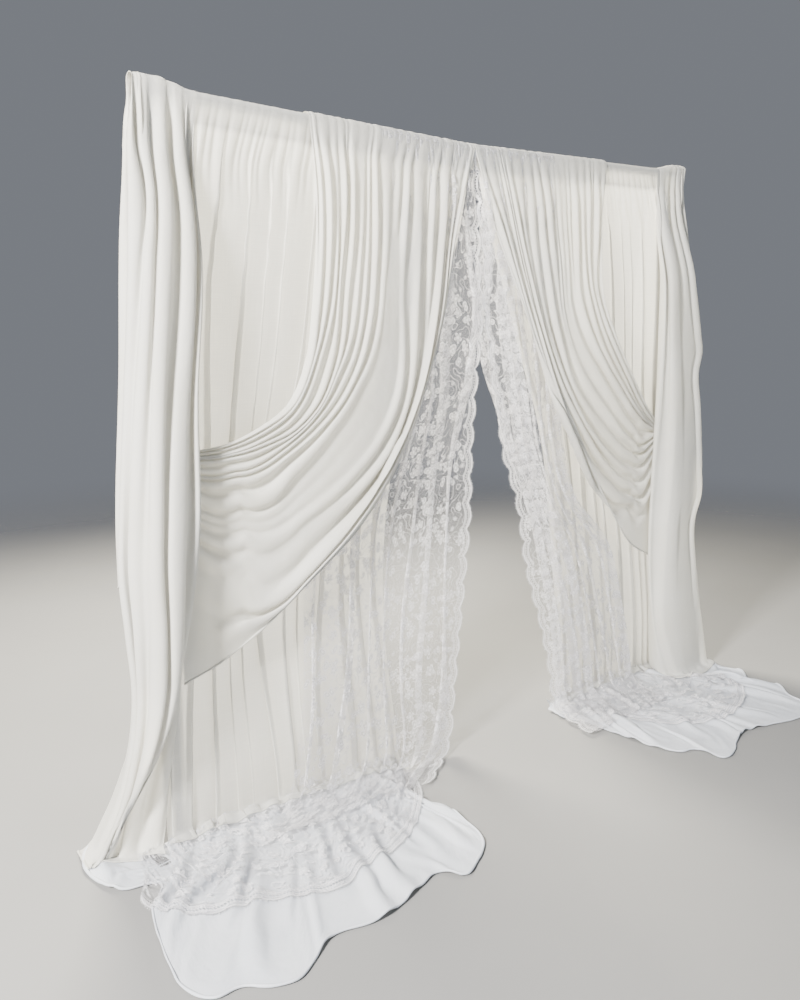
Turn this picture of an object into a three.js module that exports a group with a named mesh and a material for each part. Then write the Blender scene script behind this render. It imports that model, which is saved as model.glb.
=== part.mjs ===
// Ceremony backdrop: a telescoping pipe stand dressed with drapes, swags, lace panels and floor pools.
// Millimetres, +Z up. X runs along the crossbar, the front faces -Y, and the floor is z = 0.
// Each half is laid out by s, the distance from the middle along X, and y, counted from the crossbar.
import * as THREE from 'three';

// Stand
const uprightOffset = 1300;
const barHeight = 2368;
const barSag = 34;
const slimTubeRadius = 16;
const stoutTubeRadius = 19;
const tubeWall = 2.6;
const tubeSides = 12;
const fitGap = 0.3;
const slideGap = 0.4;
const baseSide = 300;
const baseThickness = 12;
const socketHeight = 110;
const socketWall = 4;
const collarBottom = 1240;
const collarHeight = 42;
const collarRadius = 25;
const tubeOverlap = 150;
const knobRadius = 11;
const knobLength = 26;
const bracketHeight = 56;
const bracketWidth = 32;
const bracketThickness = 18;
const tongueLength = 34;
const tongueHeight = 16;
const couplerLength = 50;
const couplerWall = 2.5;
const barEndClearance = 0.8;
const barMeetGap = 0.8;
const couplerSlack = 1.1;
const tieHeight = 30;
const tieWall = 3;

// Cloth in general: each layer wraps the bar at its own radius and opens into folds as it drops
const voileThickness = 3;
const laceThickness = 3;
const drapeThickness = 4;
const voileRadius = 19.2;
const laceRadius = 22.6;
const swagRadius = 26.5;
const legRadius = 19.7;
const columnsPerFold = 4;
const arcSteps = 4;
const headerHem = 60;
const foldDrop = 260;

// Voile and lace
const voileFolds = 6;
const voileFoldDepth = 14;
const voileOuterEdge = 1125;
const curtainRows = 5;
const laceFolds = 4;
const laceFoldDepth = 10;
const laceStandOff = 4;
const laceKick = 92;
const laceKickHeight = 520;

// Swag: how far it stands in front of the bar, from the middle out to where it passes behind the leg drape
const swagFolds = 4;
const swagFoldDepth = 11;
const swagRows = 8;
const swagGatherShare = 0.6;
const swagFrontDepth = 96;
const swagFullDepth = 100;
const swagPassDepth = 52;
const swagTuckDepth = 47;
const swagTurnIn = 250;
const swagPassStart = 50;
const swagPassEnd = 100;

// Leg drape: depths in front of the bar and behind it, as [height, depth] stations
const legFolds = 5;
const legFoldDepth = 12;
const legOpenDrop = 450;
const legHeadStart = 1255;
const legHeadEnd = 1284;
const legHeadRise = 20;
const legRows = [2200, 1900, 1500, 1000, 500, 150, 0];
const legInnerDepth = [[2400, 20], [1900, 84], [500, 86], [60, 172], [0, 176]];
const legFrontDepth = [[2400, 20], [1900, 140], [1200, 170], [500, 195], [60, 262], [0, 268]];
const legOuterBehind = [[2400, -20], [1900, -6], [500, -8], [60, 70], [0, 80]];
const legEdgeInset = 12;
const legOuterPull = 0.2;
const legInnerPull = 0.35;
const tailRows = 3;
const tailDepth = [[2400, 20], [2200, 50], [1800, 95], [1300, 125], [600, 148]];
const tailSpread = [[2400, 0], [1000, 75]];

// Pools: profiles as [share of the reach, height]
const poolTop = 38;
const poolRim = 8;
const poolSegments = 38;
const poolProfile = [[0, 0], [0.6, 0], [0.985, 0], [1, poolRim / 2], [0.97, poolRim], [0.84, poolTop],
  [0.45, poolTop], [0, poolTop]];
const lacePoolTop = 62;
const lacePoolRim = 46;
const lacePoolBottom = poolTop + fitGap;
const lacePoolSegments = 28;
const lacePoolProfile = [[0, lacePoolBottom], [0.55, lacePoolBottom], [0.97, lacePoolBottom], [1, lacePoolRim],
  [0.82, lacePoolTop], [0.4, lacePoolTop], [0, lacePoolTop]];

// Finishes seen in the photograph
const finish = {
  steel: { color: 0xb9bbbd, roughness: 0.45, metalness: 0.8 },
  darkSteel: { color: 0x4a4c50, roughness: 0.6, metalness: 0.5 },
  plastic: { color: 0x1d1e20, roughness: 0.55, metalness: 0.0 },
  ivory: { color: 0xefece0, roughness: 0.8, metalness: 0.0 },
  voile: { color: 0xe9e8e2, roughness: 0.85, metalness: 0.0 },
  lace: { color: 0xf6f6fa, roughness: 0.85, metalness: 0.0 },
  satin: { color: 0xf3f4f8, roughness: 0.5, metalness: 0.0 },
};

// The two halves. Edges are [height, distance] stations from the top down, swag lines are [distance, height]
// points from the bar out to the tie, and floor outlines are [distance, y] points.
const halves = [
  {
    name: 'left',
    side: -1,
    voileInner: [[2400, 50], [1670, 210], [1170, 400], [800, 450], [0, 420]],
    laceInner: [[2400, 36], [1500, 40], [1000, 70], [500, 165], [0, 300]],
    laceOuter: [[2400, 450], [1500, 560], [900, 760], [0, 860]],
    swagTuck: 1240,
    swagTop: [[750, 2400], [757, 2110], [808, 1743], [918, 1433], [1133, 1322], [1240, 1305]],
    swagHem: [[40, 2400], [147, 2021], [330, 1480], [650, 1000], [1000, 720], [1292, 560]],
    legInner: [[2400, 1150], [1500, 1250], [1000, 1278], [500, 1290], [0, 1285]],
    legOuter: [[2400, 1345], [1500, 1400], [600, 1415], [150, 1450], [0, 1590]],
    tailHem: { inner: 650, outer: 860 },
    poolOutline: [[400, -74], [430, -220], [515, -400], [545, -640], [650, -750], [735, -785], [800, -725],
      [960, -775], [1180, -765], [1280, -800], [1392, -860], [1530, -790], [1625, -715], [1600, -540],
      [1550, -360], [1480, -262], [1130, -250], [1060, -78], [720, -74]],
    lacePoolOutline: [[450, -84], [600, -390], [750, -660], [980, -750], [1190, -690], [1400, -590],
      [1530, -420], [1440, -290], [1090, -262], [1020, -90], [720, -84]],
  },
  {
    name: 'right',
    side: 1,
    voileInner: [[2400, 50], [1670, 230], [1170, 430], [800, 500], [0, 520]],
    laceInner: [[2400, 36], [1500, 50], [1000, 190], [500, 350], [0, 450]],
    laceOuter: [[2400, 440], [1500, 500], [900, 620], [500, 900], [0, 1010]],
    swagTuck: 1090,
    swagTop: [[770, 2400], [700, 2080], [690, 1792], [860, 1500], [1030, 1310], [1180, 1225]],
    swagHem: [[40, 2400], [90, 2080], [290, 1560], [520, 1210], [800, 840], [1150, 590]],
    legInner: [[2400, 1145], [1500, 1110], [1000, 1100], [500, 1105], [0, 1130]],
    legOuter: [[2400, 1345], [1500, 1405], [600, 1420], [150, 1440], [0, 1510]],
    tailHem: { inner: 800, outer: 1490 },
    poolOutline: [[345, -74], [335, -210], [450, -330], [485, -520], [545, -700], [620, -842], [720, -820],
      [830, -755], [1030, -790], [1235, -838], [1370, -858], [1420, -690], [1460, -540], [1530, -380],
      [1500, -262], [1130, -250], [1060, -78], [720, -74]],
    lacePoolOutline: [[400, -84], [470, -380], [560, -620], [780, -690], [1000, -640], [1200, -600],
      [1390, -450], [1400, -290], [1090, -262], [1020, -90], [720, -84]],
  },
];

const stand = new THREE.Group();

function addPiece(name, geometry, look) {
  const mesh = new THREE.Mesh(geometry, new THREE.MeshStandardMaterial(look));
  mesh.name = name;
  stand.add(mesh);
  return mesh;
}

function smooth(value) {
  return THREE.MathUtils.smoothstep(value, 0, 1);
}

// Reads a list of [position, value] stations, in rising or falling order, at one position
function readStations(stations, position) {
  const rising = stations[0][0] < stations[stations.length - 1][0];
  const ordered = rising ? stations : [...stations].reverse();
  if (position <= ordered[0][0]) return ordered[0][1];
  for (let i = 1; i < ordered.length; i += 1) {
    const [start, startValue] = ordered[i - 1];
    const [end, endValue] = ordered[i];
    if (position <= end) {
      return THREE.MathUtils.lerp(startValue, endValue, (position - start) / (end - start));
    }
  }
  return ordered[ordered.length - 1][1];
}

// Height of the crossbar's centre, which dips to the middle
function barCentre(s) {
  const reach = Math.min(Math.abs(s) / uprightOffset, 1);
  return barHeight - barSag * (1 - reach);
}

// A tube or ring along Z, from its bottom up
function ring(innerRadius, outerRadius, height) {
  const profile = [
    new THREE.Vector2(innerRadius, 0),
    new THREE.Vector2(outerRadius, 0),
    new THREE.Vector2(outerRadius, height),
    new THREE.Vector2(innerRadius, height),
    new THREE.Vector2(innerRadius, 0),
  ];
  return new THREE.LatheGeometry(profile, tubeSides).rotateX(Math.PI / 2);
}

// A box splits the squares of its far side along the other diagonal. Both sides of a cloth need the same one,
// so that the wall keeps its thickness where a fold twists.
function matchDiagonals(geometry) {
  const farSide = geometry.groups[geometry.groups.length - 1];
  const { index } = geometry;
  const cornersPerSquare = 6;
  for (let start = farSide.start; start < farSide.start + farSide.count; start += cornersPerSquare) {
    const [a, b, d, , c] = Array.from({ length: cornersPerSquare }, (_, k) => index.getX(start + k));
    [a, b, c, a, c, d].forEach((corner, k) => index.setX(start + k, corner));
  }
}

// A cloth of even thickness over a middle surface: rows run down the cloth, columns across it
function clothSolid(columns, rows, thickness, surface) {
  const geometry = new THREE.BoxGeometry(1, 1, 1, columns, rows, 1);
  matchDiagonals(geometry);
  const corner = geometry.attributes.position;
  const step = 1e-4;
  const across = new THREE.Vector3();
  const down = new THREE.Vector3();
  for (let i = 0; i < corner.count; i += 1) {
    const u = corner.getX(i) + 0.5;
    const v = corner.getY(i) + 0.5;
    const half = Math.sign(corner.getZ(i)) * thickness / 2;
    const point = surface(u, v);
    across.subVectors(surface(Math.min(u + step, 1), v), surface(Math.max(u - step, 0), v));
    down.subVectors(surface(u, Math.min(v + step, 1)), surface(u, Math.max(v - step, 0)));
    const normal = across.clone().cross(down).normalize();
    point.addScaledVector(normal, half);
    corner.setXYZ(i, point.x, point.y, Math.max(point.z, 0));
  }
  geometry.deleteAttribute('uv');
  geometry.computeVertexNormals();
  return geometry;
}

// A cloth hung over the crossbar: a back part, an arc over the bar, then the front part.
// Back and front are told how far along them the point is, as a share of their length.
function hungCloth({ side, folds, thickness, radius, crest, backRows, frontRows, edge, back, front }) {
  const rows = backRows + arcSteps + frontRows;
  return clothSolid(folds * columnsPerFold, rows, thickness, (u, v) => {
    const row = v * rows;
    const across = side < 0 ? u : 1 - u;
    if (row < backRows) {
      const place = back(across, 1 - row / backRows);
      return new THREE.Vector3(side * place.s, place.y, place.z);
    }
    const s = edge(across);
    if (row <= backRows + arcSteps) {
      const angle = Math.PI * (row - backRows) / arcSteps;
      return new THREE.Vector3(side * s, radius * Math.cos(angle), crest(s) + radius * Math.sin(angle));
    }
    const place = front(across, (row - backRows - arcSteps) / frontRows);
    return new THREE.Vector3(side * place.s, place.y, place.z);
  });
}

// How far a fold stands out from the cloth's nearest line, from none to twice its depth
function foldOut(across, folds, depth) {
  return depth * (1 - Math.cos(across * folds * 2 * Math.PI));
}

// A short turned-over hem behind the bar
function shortBack(edge, radius) {
  return (across, share) => {
    const s = edge(across);
    return { s, y: radius, z: barCentre(s) - share * headerHem };
  };
}

// A low mound on the floor inside a closed outline, from profile rows of [share of the reach, height]
function mound(side, outline, profileRows, segments) {
  const points = outline.map(([s, y]) => new THREE.Vector3(side * s, y, 0));
  const curve = new THREE.CatmullRomCurve3(side < 0 ? [...points].reverse() : points, true, 'centripetal');
  const centre = points.reduce((sum, point) => sum.add(point), new THREE.Vector3()).divideScalar(points.length);
  const profile = profileRows.map(([reach, height]) => new THREE.Vector2(reach, height));
  const geometry = new THREE.LatheGeometry(profile, segments);
  const corner = geometry.attributes.position;
  for (let i = 0; i <= segments; i += 1) {
    const rim = curve.getPoint((i % segments) / segments);
    profileRows.forEach(([reach, height], j) => {
      const x = THREE.MathUtils.lerp(centre.x, rim.x, reach);
      const y = THREE.MathUtils.lerp(centre.y, rim.y, reach);
      corner.setXYZ(i * profileRows.length + j, x, y, height);
    });
  }
  geometry.deleteAttribute('uv');
  geometry.computeVertexNormals();
  return geometry;
}

// Base plate with its socket, and the telescoping upright with its lock
function addUpright({ name, side }) {
  const x = side * uprightOffset;
  const plate = new THREE.BoxGeometry(baseSide, baseSide, baseThickness);
  addPiece(`${name}_base_plate`, plate, finish.darkSteel).position.set(x, 0, baseThickness / 2);

  const socket = ring(stoutTubeRadius + fitGap, stoutTubeRadius + socketWall, socketHeight);
  addPiece(`${name}_base_socket`, socket, finish.darkSteel).position.set(x, 0, baseThickness);

  const lowerLength = collarBottom - baseThickness - fitGap;
  const lower = ring(stoutTubeRadius - tubeWall, stoutTubeRadius, lowerLength);
  addPiece(`${name}_lower_upright`, lower, finish.steel).position.set(x, 0, baseThickness);

  const upperBottom = collarBottom - tubeOverlap;
  const upperTop = barHeight + bracketWidth - bracketHeight - fitGap;
  const upper = ring(slimTubeRadius - tubeWall, slimTubeRadius, upperTop - upperBottom);
  addPiece(`${name}_upper_upright`, upper, finish.steel).position.set(x, 0, upperBottom);

  const collar = ring(slimTubeRadius + slideGap, collarRadius, collarHeight);
  addPiece(`${name}_height_collar`, collar, finish.plastic).position.set(x, 0, collarBottom);

  const knob = new THREE.CylinderGeometry(knobRadius, knobRadius, knobLength, tubeSides).rotateZ(Math.PI / 2);
  const knobMiddle = collarRadius + fitGap + knobLength / 2;
  const knobHeight = collarBottom + collarHeight / 2;
  addPiece(`${name}_height_knob`, knob, finish.plastic).position.set(x - side * knobMiddle, 0, knobHeight);

  const tie = ring(slimTubeRadius + slideGap, slimTubeRadius + slideGap + tieWall, tieHeight);
  const tieBottom = collarBottom + collarHeight + fitGap;
  addPiece(`${name}_swag_tie`, tie, finish.ivory).position.set(x, 0, tieBottom);
}

// Bracket on the upright's head, with a tongue that the crossbar slips over
function addBracket({ name, side }) {
  const half = bracketWidth / 2;
  const bottom = barHeight + bracketWidth - bracketHeight;
  const outline = new THREE.Shape();
  outline.moveTo(-half, bottom);
  outline.lineTo(half, bottom);
  outline.lineTo(half, bottom + bracketHeight);
  outline.lineTo(-half, bottom + bracketHeight);
  outline.lineTo(-half, barHeight + tongueHeight / 2);
  outline.lineTo(-half - tongueLength, barHeight + tongueHeight / 2);
  outline.lineTo(-half - tongueLength, barHeight - tongueHeight / 2);
  outline.lineTo(-half, barHeight - tongueHeight / 2);
  outline.closePath();
  const bracket = new THREE.ExtrudeGeometry(outline, { depth: bracketThickness, bevelEnabled: false });
  bracket.translate(0, 0, -bracketThickness / 2).rotateX(Math.PI / 2);
  if (side < 0) bracket.rotateZ(Math.PI);
  addPiece(`${name}_bar_bracket`, bracket, finish.darkSteel).position.set(side * uprightOffset, 0, 0);
}

// Half of the crossbar, which dips to the middle
function addCrossbar({ name, side }) {
  const inner = new THREE.Vector3(side * barMeetGap, 0, barHeight - barSag);
  const outerEnd = uprightOffset - bracketWidth / 2 - barEndClearance;
  const outer = new THREE.Vector3(side * outerEnd, 0, barCentre(outerEnd));
  const along = new THREE.Vector3().subVectors(outer, inner);
  const bar = ring(slimTubeRadius - tubeWall, slimTubeRadius, along.length());
  const mesh = addPiece(`${name}_crossbar`, bar, finish.steel);
  mesh.position.copy(inner);
  mesh.quaternion.setFromUnitVectors(new THREE.Vector3(0, 0, 1), along.normalize());
}

// Sleeve where the two halves of the crossbar meet
function addCoupler() {
  const inner = slimTubeRadius + couplerSlack;
  const coupler = ring(inner, inner + couplerWall, couplerLength);
  coupler.translate(0, 0, -couplerLength / 2).rotateY(Math.PI / 2);
  addPiece('crossbar_coupler', coupler, finish.darkSteel).position.set(0, 0, barHeight - barSag);
}

// Voile curtain hung behind everything else
function addVoile({ name, side, voileInner }) {
  const place = (across, height) => THREE.MathUtils.lerp(voileOuterEdge, readStations(voileInner, height), across);
  const edge = (across) => place(across, barHeight);
  const front = (across, share) => {
    const drop = barHeight * share;
    const s = place(across, barHeight - drop);
    const fold = foldOut(across, voileFolds, voileFoldDepth) * smooth(drop / foldDrop);
    return { s, y: -voileRadius - fold, z: barCentre(s) * (1 - share) };
  };
  const geometry = hungCloth({ side, folds: voileFolds, thickness: voileThickness, radius: voileRadius,
    crest: barCentre, backRows: 1, frontRows: curtainRows, edge, back: shortBack(edge, voileRadius), front });
  addPiece(`${name}_voile_curtain`, geometry, finish.voile);
}

// Lace panel in front of the voile, down to the lace that lies on the floor pool
function addLace({ name, side, laceInner, laceOuter }) {
  const bottom = lacePoolTop + fitGap;
  const place = (across, height) => THREE.MathUtils.lerp(readStations(laceOuter, height),
    readStations(laceInner, height), across);
  const edge = (across) => place(across, barHeight);
  const front = (across, share) => {
    const height = barHeight * (1 - share);
    const s = place(across, height);
    const open = smooth((barHeight - height) / foldDrop);
    const clear = (2 * voileFoldDepth + laceStandOff) * open;
    const fold = foldOut(across, laceFolds, laceFoldDepth) * open;
    const kick = laceKick * smooth(1 - height / laceKickHeight);
    return { s, y: -laceRadius - clear - fold - kick, z: bottom + (barCentre(s) - bottom) * (1 - share) };
  };
  const geometry = hungCloth({ side, folds: laceFolds, thickness: laceThickness, radius: laceRadius,
    crest: barCentre, backRows: 1, frontRows: curtainRows, edge, back: shortBack(edge, laceRadius), front });
  addPiece(`${name}_lace_panel`, geometry, finish.lace);
}

// Swag: hangs from the inner part of the bar and sweeps out to the tie behind the leg drape
function addSwag({ name, side, swagTuck, swagTop, swagHem }) {
  const depth = [[0, swagFrontDepth], [swagTuck - swagTurnIn, swagFullDepth],
    [swagTuck - swagPassStart, swagPassDepth], [swagTuck + swagPassEnd, swagTuckDepth]];
  const line = (stations) => {
    const path = stations.map(([s, z], i) => new THREE.Vector3(s, 0, i === 0 ? barCentre(s) : z));
    return new THREE.CatmullRomCurve3(path, false, 'centripetal');
  };
  const topEdge = line(swagTop);
  const hemEdge = line(swagHem);
  const edge = (across) => THREE.MathUtils.lerp(swagTop[0][0], swagHem[0][0], across);
  const front = (across, share) => {
    const point = topEdge.getPoint(share).lerp(hemEdge.getPoint(share), across);
    const s = point.x;
    const leave = smooth((barCentre(s) - point.z) / foldDrop);
    const fold = foldOut(across, swagFolds, swagFoldDepth) * leave * (1 - swagGatherShare * share);
    const stand = swagRadius + (readStations(depth, s) - swagRadius) * leave;
    return { s, y: -stand - fold, z: point.z };
  };
  const geometry = hungCloth({ side, folds: swagFolds, thickness: drapeThickness, radius: swagRadius,
    crest: barCentre, backRows: 1, frontRows: swagRows, edge, back: shortBack(edge, swagRadius), front });
  addPiece(`${name}_swag`, geometry, finish.ivory);
}

// Leg drape: thrown over the bar's end, wrapped round the front of the upright, with a short tail behind
function addLegDrape({ name, side, legInner, legOuter, tailHem }) {
  const crest = (s) => barCentre(s) + legHeadRise * smooth((s - legHeadStart) / (legHeadEnd - legHeadStart));
  const edge = (across) => THREE.MathUtils.lerp(legOuter[0][1], legInner[0][1], across);
  const front = (across, share) => {
    const start = crest(edge(across));
    const row = share * legRows.length;
    const z = readStations([[0, start], ...legRows.map((height, i) => [i + 1, height])], row);
    const inner = readStations(legInner, z);
    const outer = readStations(legOuter, z);
    const reach = outer - inner;
    const near = -readStations(legFrontDepth, z);
    const wrap = new THREE.CubicBezierCurve3(
      new THREE.Vector3(outer - legEdgeInset, readStations(legOuterBehind, z), z),
      new THREE.Vector3(outer + legOuterPull * reach, near, z),
      new THREE.Vector3(inner + legInnerPull * reach, near, z),
      new THREE.Vector3(inner, -readStations(legInnerDepth, z), z),
    );
    const point = wrap.getPoint(across);
    const tangent = wrap.getTangent(across);
    const open = smooth((start - z) / legOpenDrop);
    const fold = legFoldDepth * open * Math.sin(across * legFolds * 2 * Math.PI);
    const s = THREE.MathUtils.lerp(edge(across), point.x + tangent.y * fold, open);
    const y = THREE.MathUtils.lerp(-legRadius, point.y - tangent.x * fold, open);
    return { s, y, z };
  };
  const back = (across, share) => {
    const start = crest(edge(across));
    const z = THREE.MathUtils.lerp(start, THREE.MathUtils.lerp(tailHem.outer, tailHem.inner, across), share);
    const s = edge(across) + readStations(tailSpread, z) * (1 - across);
    const open = smooth((start - z) / legOpenDrop);
    const behind = legRadius + (readStations(tailDepth, z) - legRadius) * open;
    return { s, y: behind - foldOut(across, legFolds, legFoldDepth) * open, z };
  };
  const geometry = hungCloth({ side, folds: legFolds, thickness: drapeThickness, radius: legRadius,
    crest, backRows: tailRows, frontRows: legRows.length, edge, back, front });
  addPiece(`${name}_leg_drape`, geometry, finish.ivory);
}

// Cloth pooled on the floor, and the lace lying on it
function addPools({ name, side, poolOutline, lacePoolOutline }) {
  addPiece(`${name}_floor_pool`, mound(side, poolOutline, poolProfile, poolSegments), finish.satin);
  addPiece(`${name}_lace_pool`, mound(side, lacePoolOutline, lacePoolProfile, lacePoolSegments), finish.lace);
}

for (const half of halves) {
  addUpright(half);
  addBracket(half);
  addCrossbar(half);
  addVoile(half);
  addLace(half);
  addSwag(half);
  addLegDrape(half);
  addPools(half);
}
addCoupler();

// The origin is the bottom centre of the whole
const extent = new THREE.Box3().setFromObject(stand);
const middle = extent.getCenter(new THREE.Vector3());
stand.position.set(-middle.x, -middle.y, -extent.min.z);

export default stand;
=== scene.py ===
# A ceremony backdrop: ivory leg drapes, swags, voile, scalloped lace and floor pools on a pipe stand.
# The cloths are laid out by s, the distance from the middle along the crossbar, y, counted from the crossbar
# with the front at -y, and z, the height over the floor. Everything is in metres.
import math
import bpy
import numpy as np
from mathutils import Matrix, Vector
from mathutils.bvhtree import BVHTree


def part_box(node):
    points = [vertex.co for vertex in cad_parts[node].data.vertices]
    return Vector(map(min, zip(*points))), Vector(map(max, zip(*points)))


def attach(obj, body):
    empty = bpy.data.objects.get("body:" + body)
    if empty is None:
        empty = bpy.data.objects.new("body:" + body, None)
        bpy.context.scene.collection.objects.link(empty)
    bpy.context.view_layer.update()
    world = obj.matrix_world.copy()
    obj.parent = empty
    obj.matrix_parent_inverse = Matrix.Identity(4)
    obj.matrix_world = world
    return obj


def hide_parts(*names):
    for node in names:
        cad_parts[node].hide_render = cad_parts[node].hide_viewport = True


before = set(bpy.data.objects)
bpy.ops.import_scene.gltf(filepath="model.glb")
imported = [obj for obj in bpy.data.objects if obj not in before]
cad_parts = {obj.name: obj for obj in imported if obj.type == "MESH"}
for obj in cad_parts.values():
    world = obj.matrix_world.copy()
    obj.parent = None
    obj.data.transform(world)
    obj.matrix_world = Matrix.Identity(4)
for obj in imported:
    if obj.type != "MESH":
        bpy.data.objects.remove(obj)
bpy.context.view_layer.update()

SIDES = {"left": -1, "right": 1}


def middle_of(node):
    low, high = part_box(node)
    return (low + high) / 2


# Stand, read from the frame
LEFT_PLATE = middle_of("left_base_plate")
RIGHT_PLATE = middle_of("right_base_plate")
MID_X = (LEFT_PLATE.x + RIGHT_PLATE.x) / 2
BAR_Y = LEFT_PLATE.y
UPRIGHT_S = (RIGHT_PLATE.x - LEFT_PLATE.x) / 2
BAR_MIDDLE_Z = middle_of("crossbar_coupler").z
TUBE_R = (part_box("left_upper_upright")[1].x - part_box("left_upper_upright")[0].x) / 2
BAR_END_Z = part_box("left_crossbar")[1].z - TUBE_R

# Where each layer lies over the bar, and how much hem is turned down behind it
VOILE_R = 0.0192
LACE_R = 0.0226
SWAG_R = 0.0265
LEG_R = 0.0197
HEADER_HEM = 0.06

TAU = 2 * math.pi


# Numbers and curves

def smooth(share):
    share = np.clip(share, 0, 1)
    return share * share * (3 - 2 * share)


def between(t, width, a, b, slope_a, slope_b):
    """A smooth line from a to b, a width apart, at share t of the way, with its slope at either end."""
    start = (1 + 2 * t) * (1 - t) ** 2 * a + t * (1 - t) ** 2 * width * slope_a
    end = t * t * (3 - 2 * t) * b + t * t * (t - 1) * width * slope_b
    return start + end


def curve(stations, at):
    """A smooth line through stations of (position, value), held level past both ends."""
    knots = np.array(sorted(stations), float)
    where, value = knots[:, 0], knots[:, 1]
    slope = np.gradient(value, where)
    at = np.clip(at, where[0], where[-1])
    i = np.clip(np.searchsorted(where, at) - 1, 0, len(where) - 2)
    width = where[i + 1] - where[i]
    return between((at - where[i]) / width, width, value[i], value[i + 1], slope[i], slope[i + 1])


def through(shares, stations, at):
    """A smooth line through stations, each a number or an array, that lie at the given shares."""
    shares = np.array(shares, float)
    values = np.stack([np.broadcast_arrays(station, at)[0] for station in stations]).astype(float)
    slopes = np.gradient(values, shares, axis=0)
    i = np.clip(np.searchsorted(shares, at) - 1, 0, len(shares) - 2)
    width = shares[i + 1] - shares[i]
    ends = [np.take_along_axis(table, k[None], 0)[0] for table in (values, slopes) for k in (i, i + 1)]
    return between((np.clip(at, 0, 1) - shares[i]) / width, width, *ends)


def finer(grid, rows, columns):
    """A cloth grid with more points, on smooth lines through the ones it has."""
    for count in (rows, columns):
        at = np.linspace(0, len(grid) - 1, count)
        i = np.minimum(at.astype(int), len(grid) - 2)
        slope = np.gradient(grid, axis=0)
        grid = between((at - i)[:, None, None], 1, grid[i], grid[i + 1], slope[i], slope[i + 1])
        grid = grid.transpose(1, 0, 2)
    return grid


def lengths(points, axis=0):
    """The length of each step along an axis of a line or grid of points."""
    return np.linalg.norm(np.diff(points, axis=axis), axis=-1)


def distances(line):
    return np.concatenate([[0], np.cumsum(lengths(line))])


def unit(vectors):
    return vectors / np.maximum(np.linalg.norm(vectors, axis=-1, keepdims=True), 1e-9)


def along(points, count):
    """Count points evenly spaced along a smooth line through the given ones."""
    points = np.array(points, float)
    reach = distances(points)
    dense = np.linspace(0, reach[-1], 40 * len(points))
    line = np.stack([curve(list(zip(reach, points[:, k])), dense) for k in range(points.shape[1])], 1)
    reach = distances(line)
    even = np.linspace(0, reach[-1], count)
    return np.stack([np.interp(even, reach, line[:, k]) for k in range(points.shape[1])], 1)


def swell(rng, waves, *axes):
    """A gentle random swell of about -1 to 1 over one or more (values, wavelength) axes."""
    total = 0
    for _ in range(waves):
        angle = rng.uniform(0, TAU)
        for values, length in axes:
            angle = angle + TAU * values / length * rng.uniform(0.6, 1.5) * rng.choice((-1, 1))
        total = total + np.sin(angle)
    return total / math.sqrt(waves)


def bar_centre(s):
    return BAR_END_Z - (BAR_END_Z - BAR_MIDDLE_Z) * (1 - np.minimum(np.abs(s) / UPRIGHT_S, 1))


# Folds. A folded line swings to and fro about its course, and the swing follows from how much it is gathered.

def fold_shape(phase, ridge=0.7):
    """The swing over one fold: a narrow valley where the phase is whole, and a broad ridge between."""
    return np.sin(TAU * phase + ridge * np.sin(TAU * phase))


SWINGS = np.linspace(0, 2.05, 160)
SHORTENING = np.cos(SWINGS[:, None] * fold_shape(np.linspace(0, 1, 360))).mean(1)


def swing_for(share):
    """How far the direction swings, in radians, when a line takes up that share of its length."""
    return np.interp(np.clip(share, SHORTENING[-1], 1), SHORTENING[::-1], SWINGS[::-1])


# A knife pleat turns the cloth back on itself and forward again. Its strength falls off as a smooth bump.
KNIFE_TURN = 2.7
BUMP = np.linspace(-2, 2, 400)
KNIFE_LOSS = (1 - np.cos(KNIFE_TURN * np.exp(-BUMP ** 4))).mean() * 4


def knife_turn(spans, phase, ways):
    """The direction's turn over flat stretches with a knife pleat in each, its way given by ways."""
    half = np.clip((1 - spans) / KNIFE_LOSS, 0.015, 0.2)
    way = ways[np.clip(np.floor(phase).astype(int), 0, len(ways) - 1)]
    return way * KNIFE_TURN * np.exp(-((phase - np.floor(phase) - 0.5) / half) ** 4)


def uneven_folds(rng, width, size, unevenness):
    """Where the valleys lie across a cloth, folds of about that size."""
    count = max(2, round(width / size))
    sizes = 1 + unevenness * rng.uniform(-1, 1, count)
    return np.concatenate([[0], np.cumsum(sizes)]) * width / sizes.sum()


def fold_phase(valleys, s):
    return np.interp(s, valleys, np.arange(len(valleys)))


def pinch(drop, least, over=0.16):
    """How much of its depth a fold has, flat over the bar and full a little below it."""
    return least + (1 - least) * smooth(drop / over)


def without_drift(off, window):
    """Takes out what doesn't come back within a few folds, so that a folded cloth keeps to its course."""
    window = max(3, int(window) // 2 * 2 + 1)
    kernel = np.hanning(window + 2)[1:-1]
    kernel /= kernel.sum()
    padded = np.pad(off, ((0, 0), (window // 2, window // 2)), "reflect")
    return off - np.stack([np.convolve(row, kernel, "valid") for row in padded])


def drape(surface, width, columns, path, turn, fold_size, depth=1.0):
    """Points of a cloth gathered onto a surface that gives (s, y, z) for a share across it and a path down it.
    width is the cloth's, or one for each row. Where the surface is narrower than the cloth, the cloth stands in
    folds: turn gives the angle that it takes to its course, from how much of its width the course spans."""
    share = np.linspace(0, 1, columns)[None, :] + 0 * path
    step = 4e-3
    after, before = np.minimum(share + step, 1), np.maximum(share - step, 0)
    ahead = surface(after, path) - surface(before, path)
    spans = np.linalg.norm(ahead, axis=-1) / ((after - before) * width)
    angle = turn(spans)
    gain = np.cos(angle) / np.clip(spans, SHORTENING[-1], 1)
    across = np.cumsum((gain[:, 1:] + gain[:, :-1]) / 2, 1)
    across = np.concatenate([np.zeros((len(path), 1)), across], 1)
    across = across / across[:, -1:]
    off = np.cumsum(np.sin(angle), 1) * width / (columns - 1)
    off = without_drift(off, 2.2 * fold_size / np.max(width) * columns)
    return on_surface(surface, across, path, off * depth)


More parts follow.
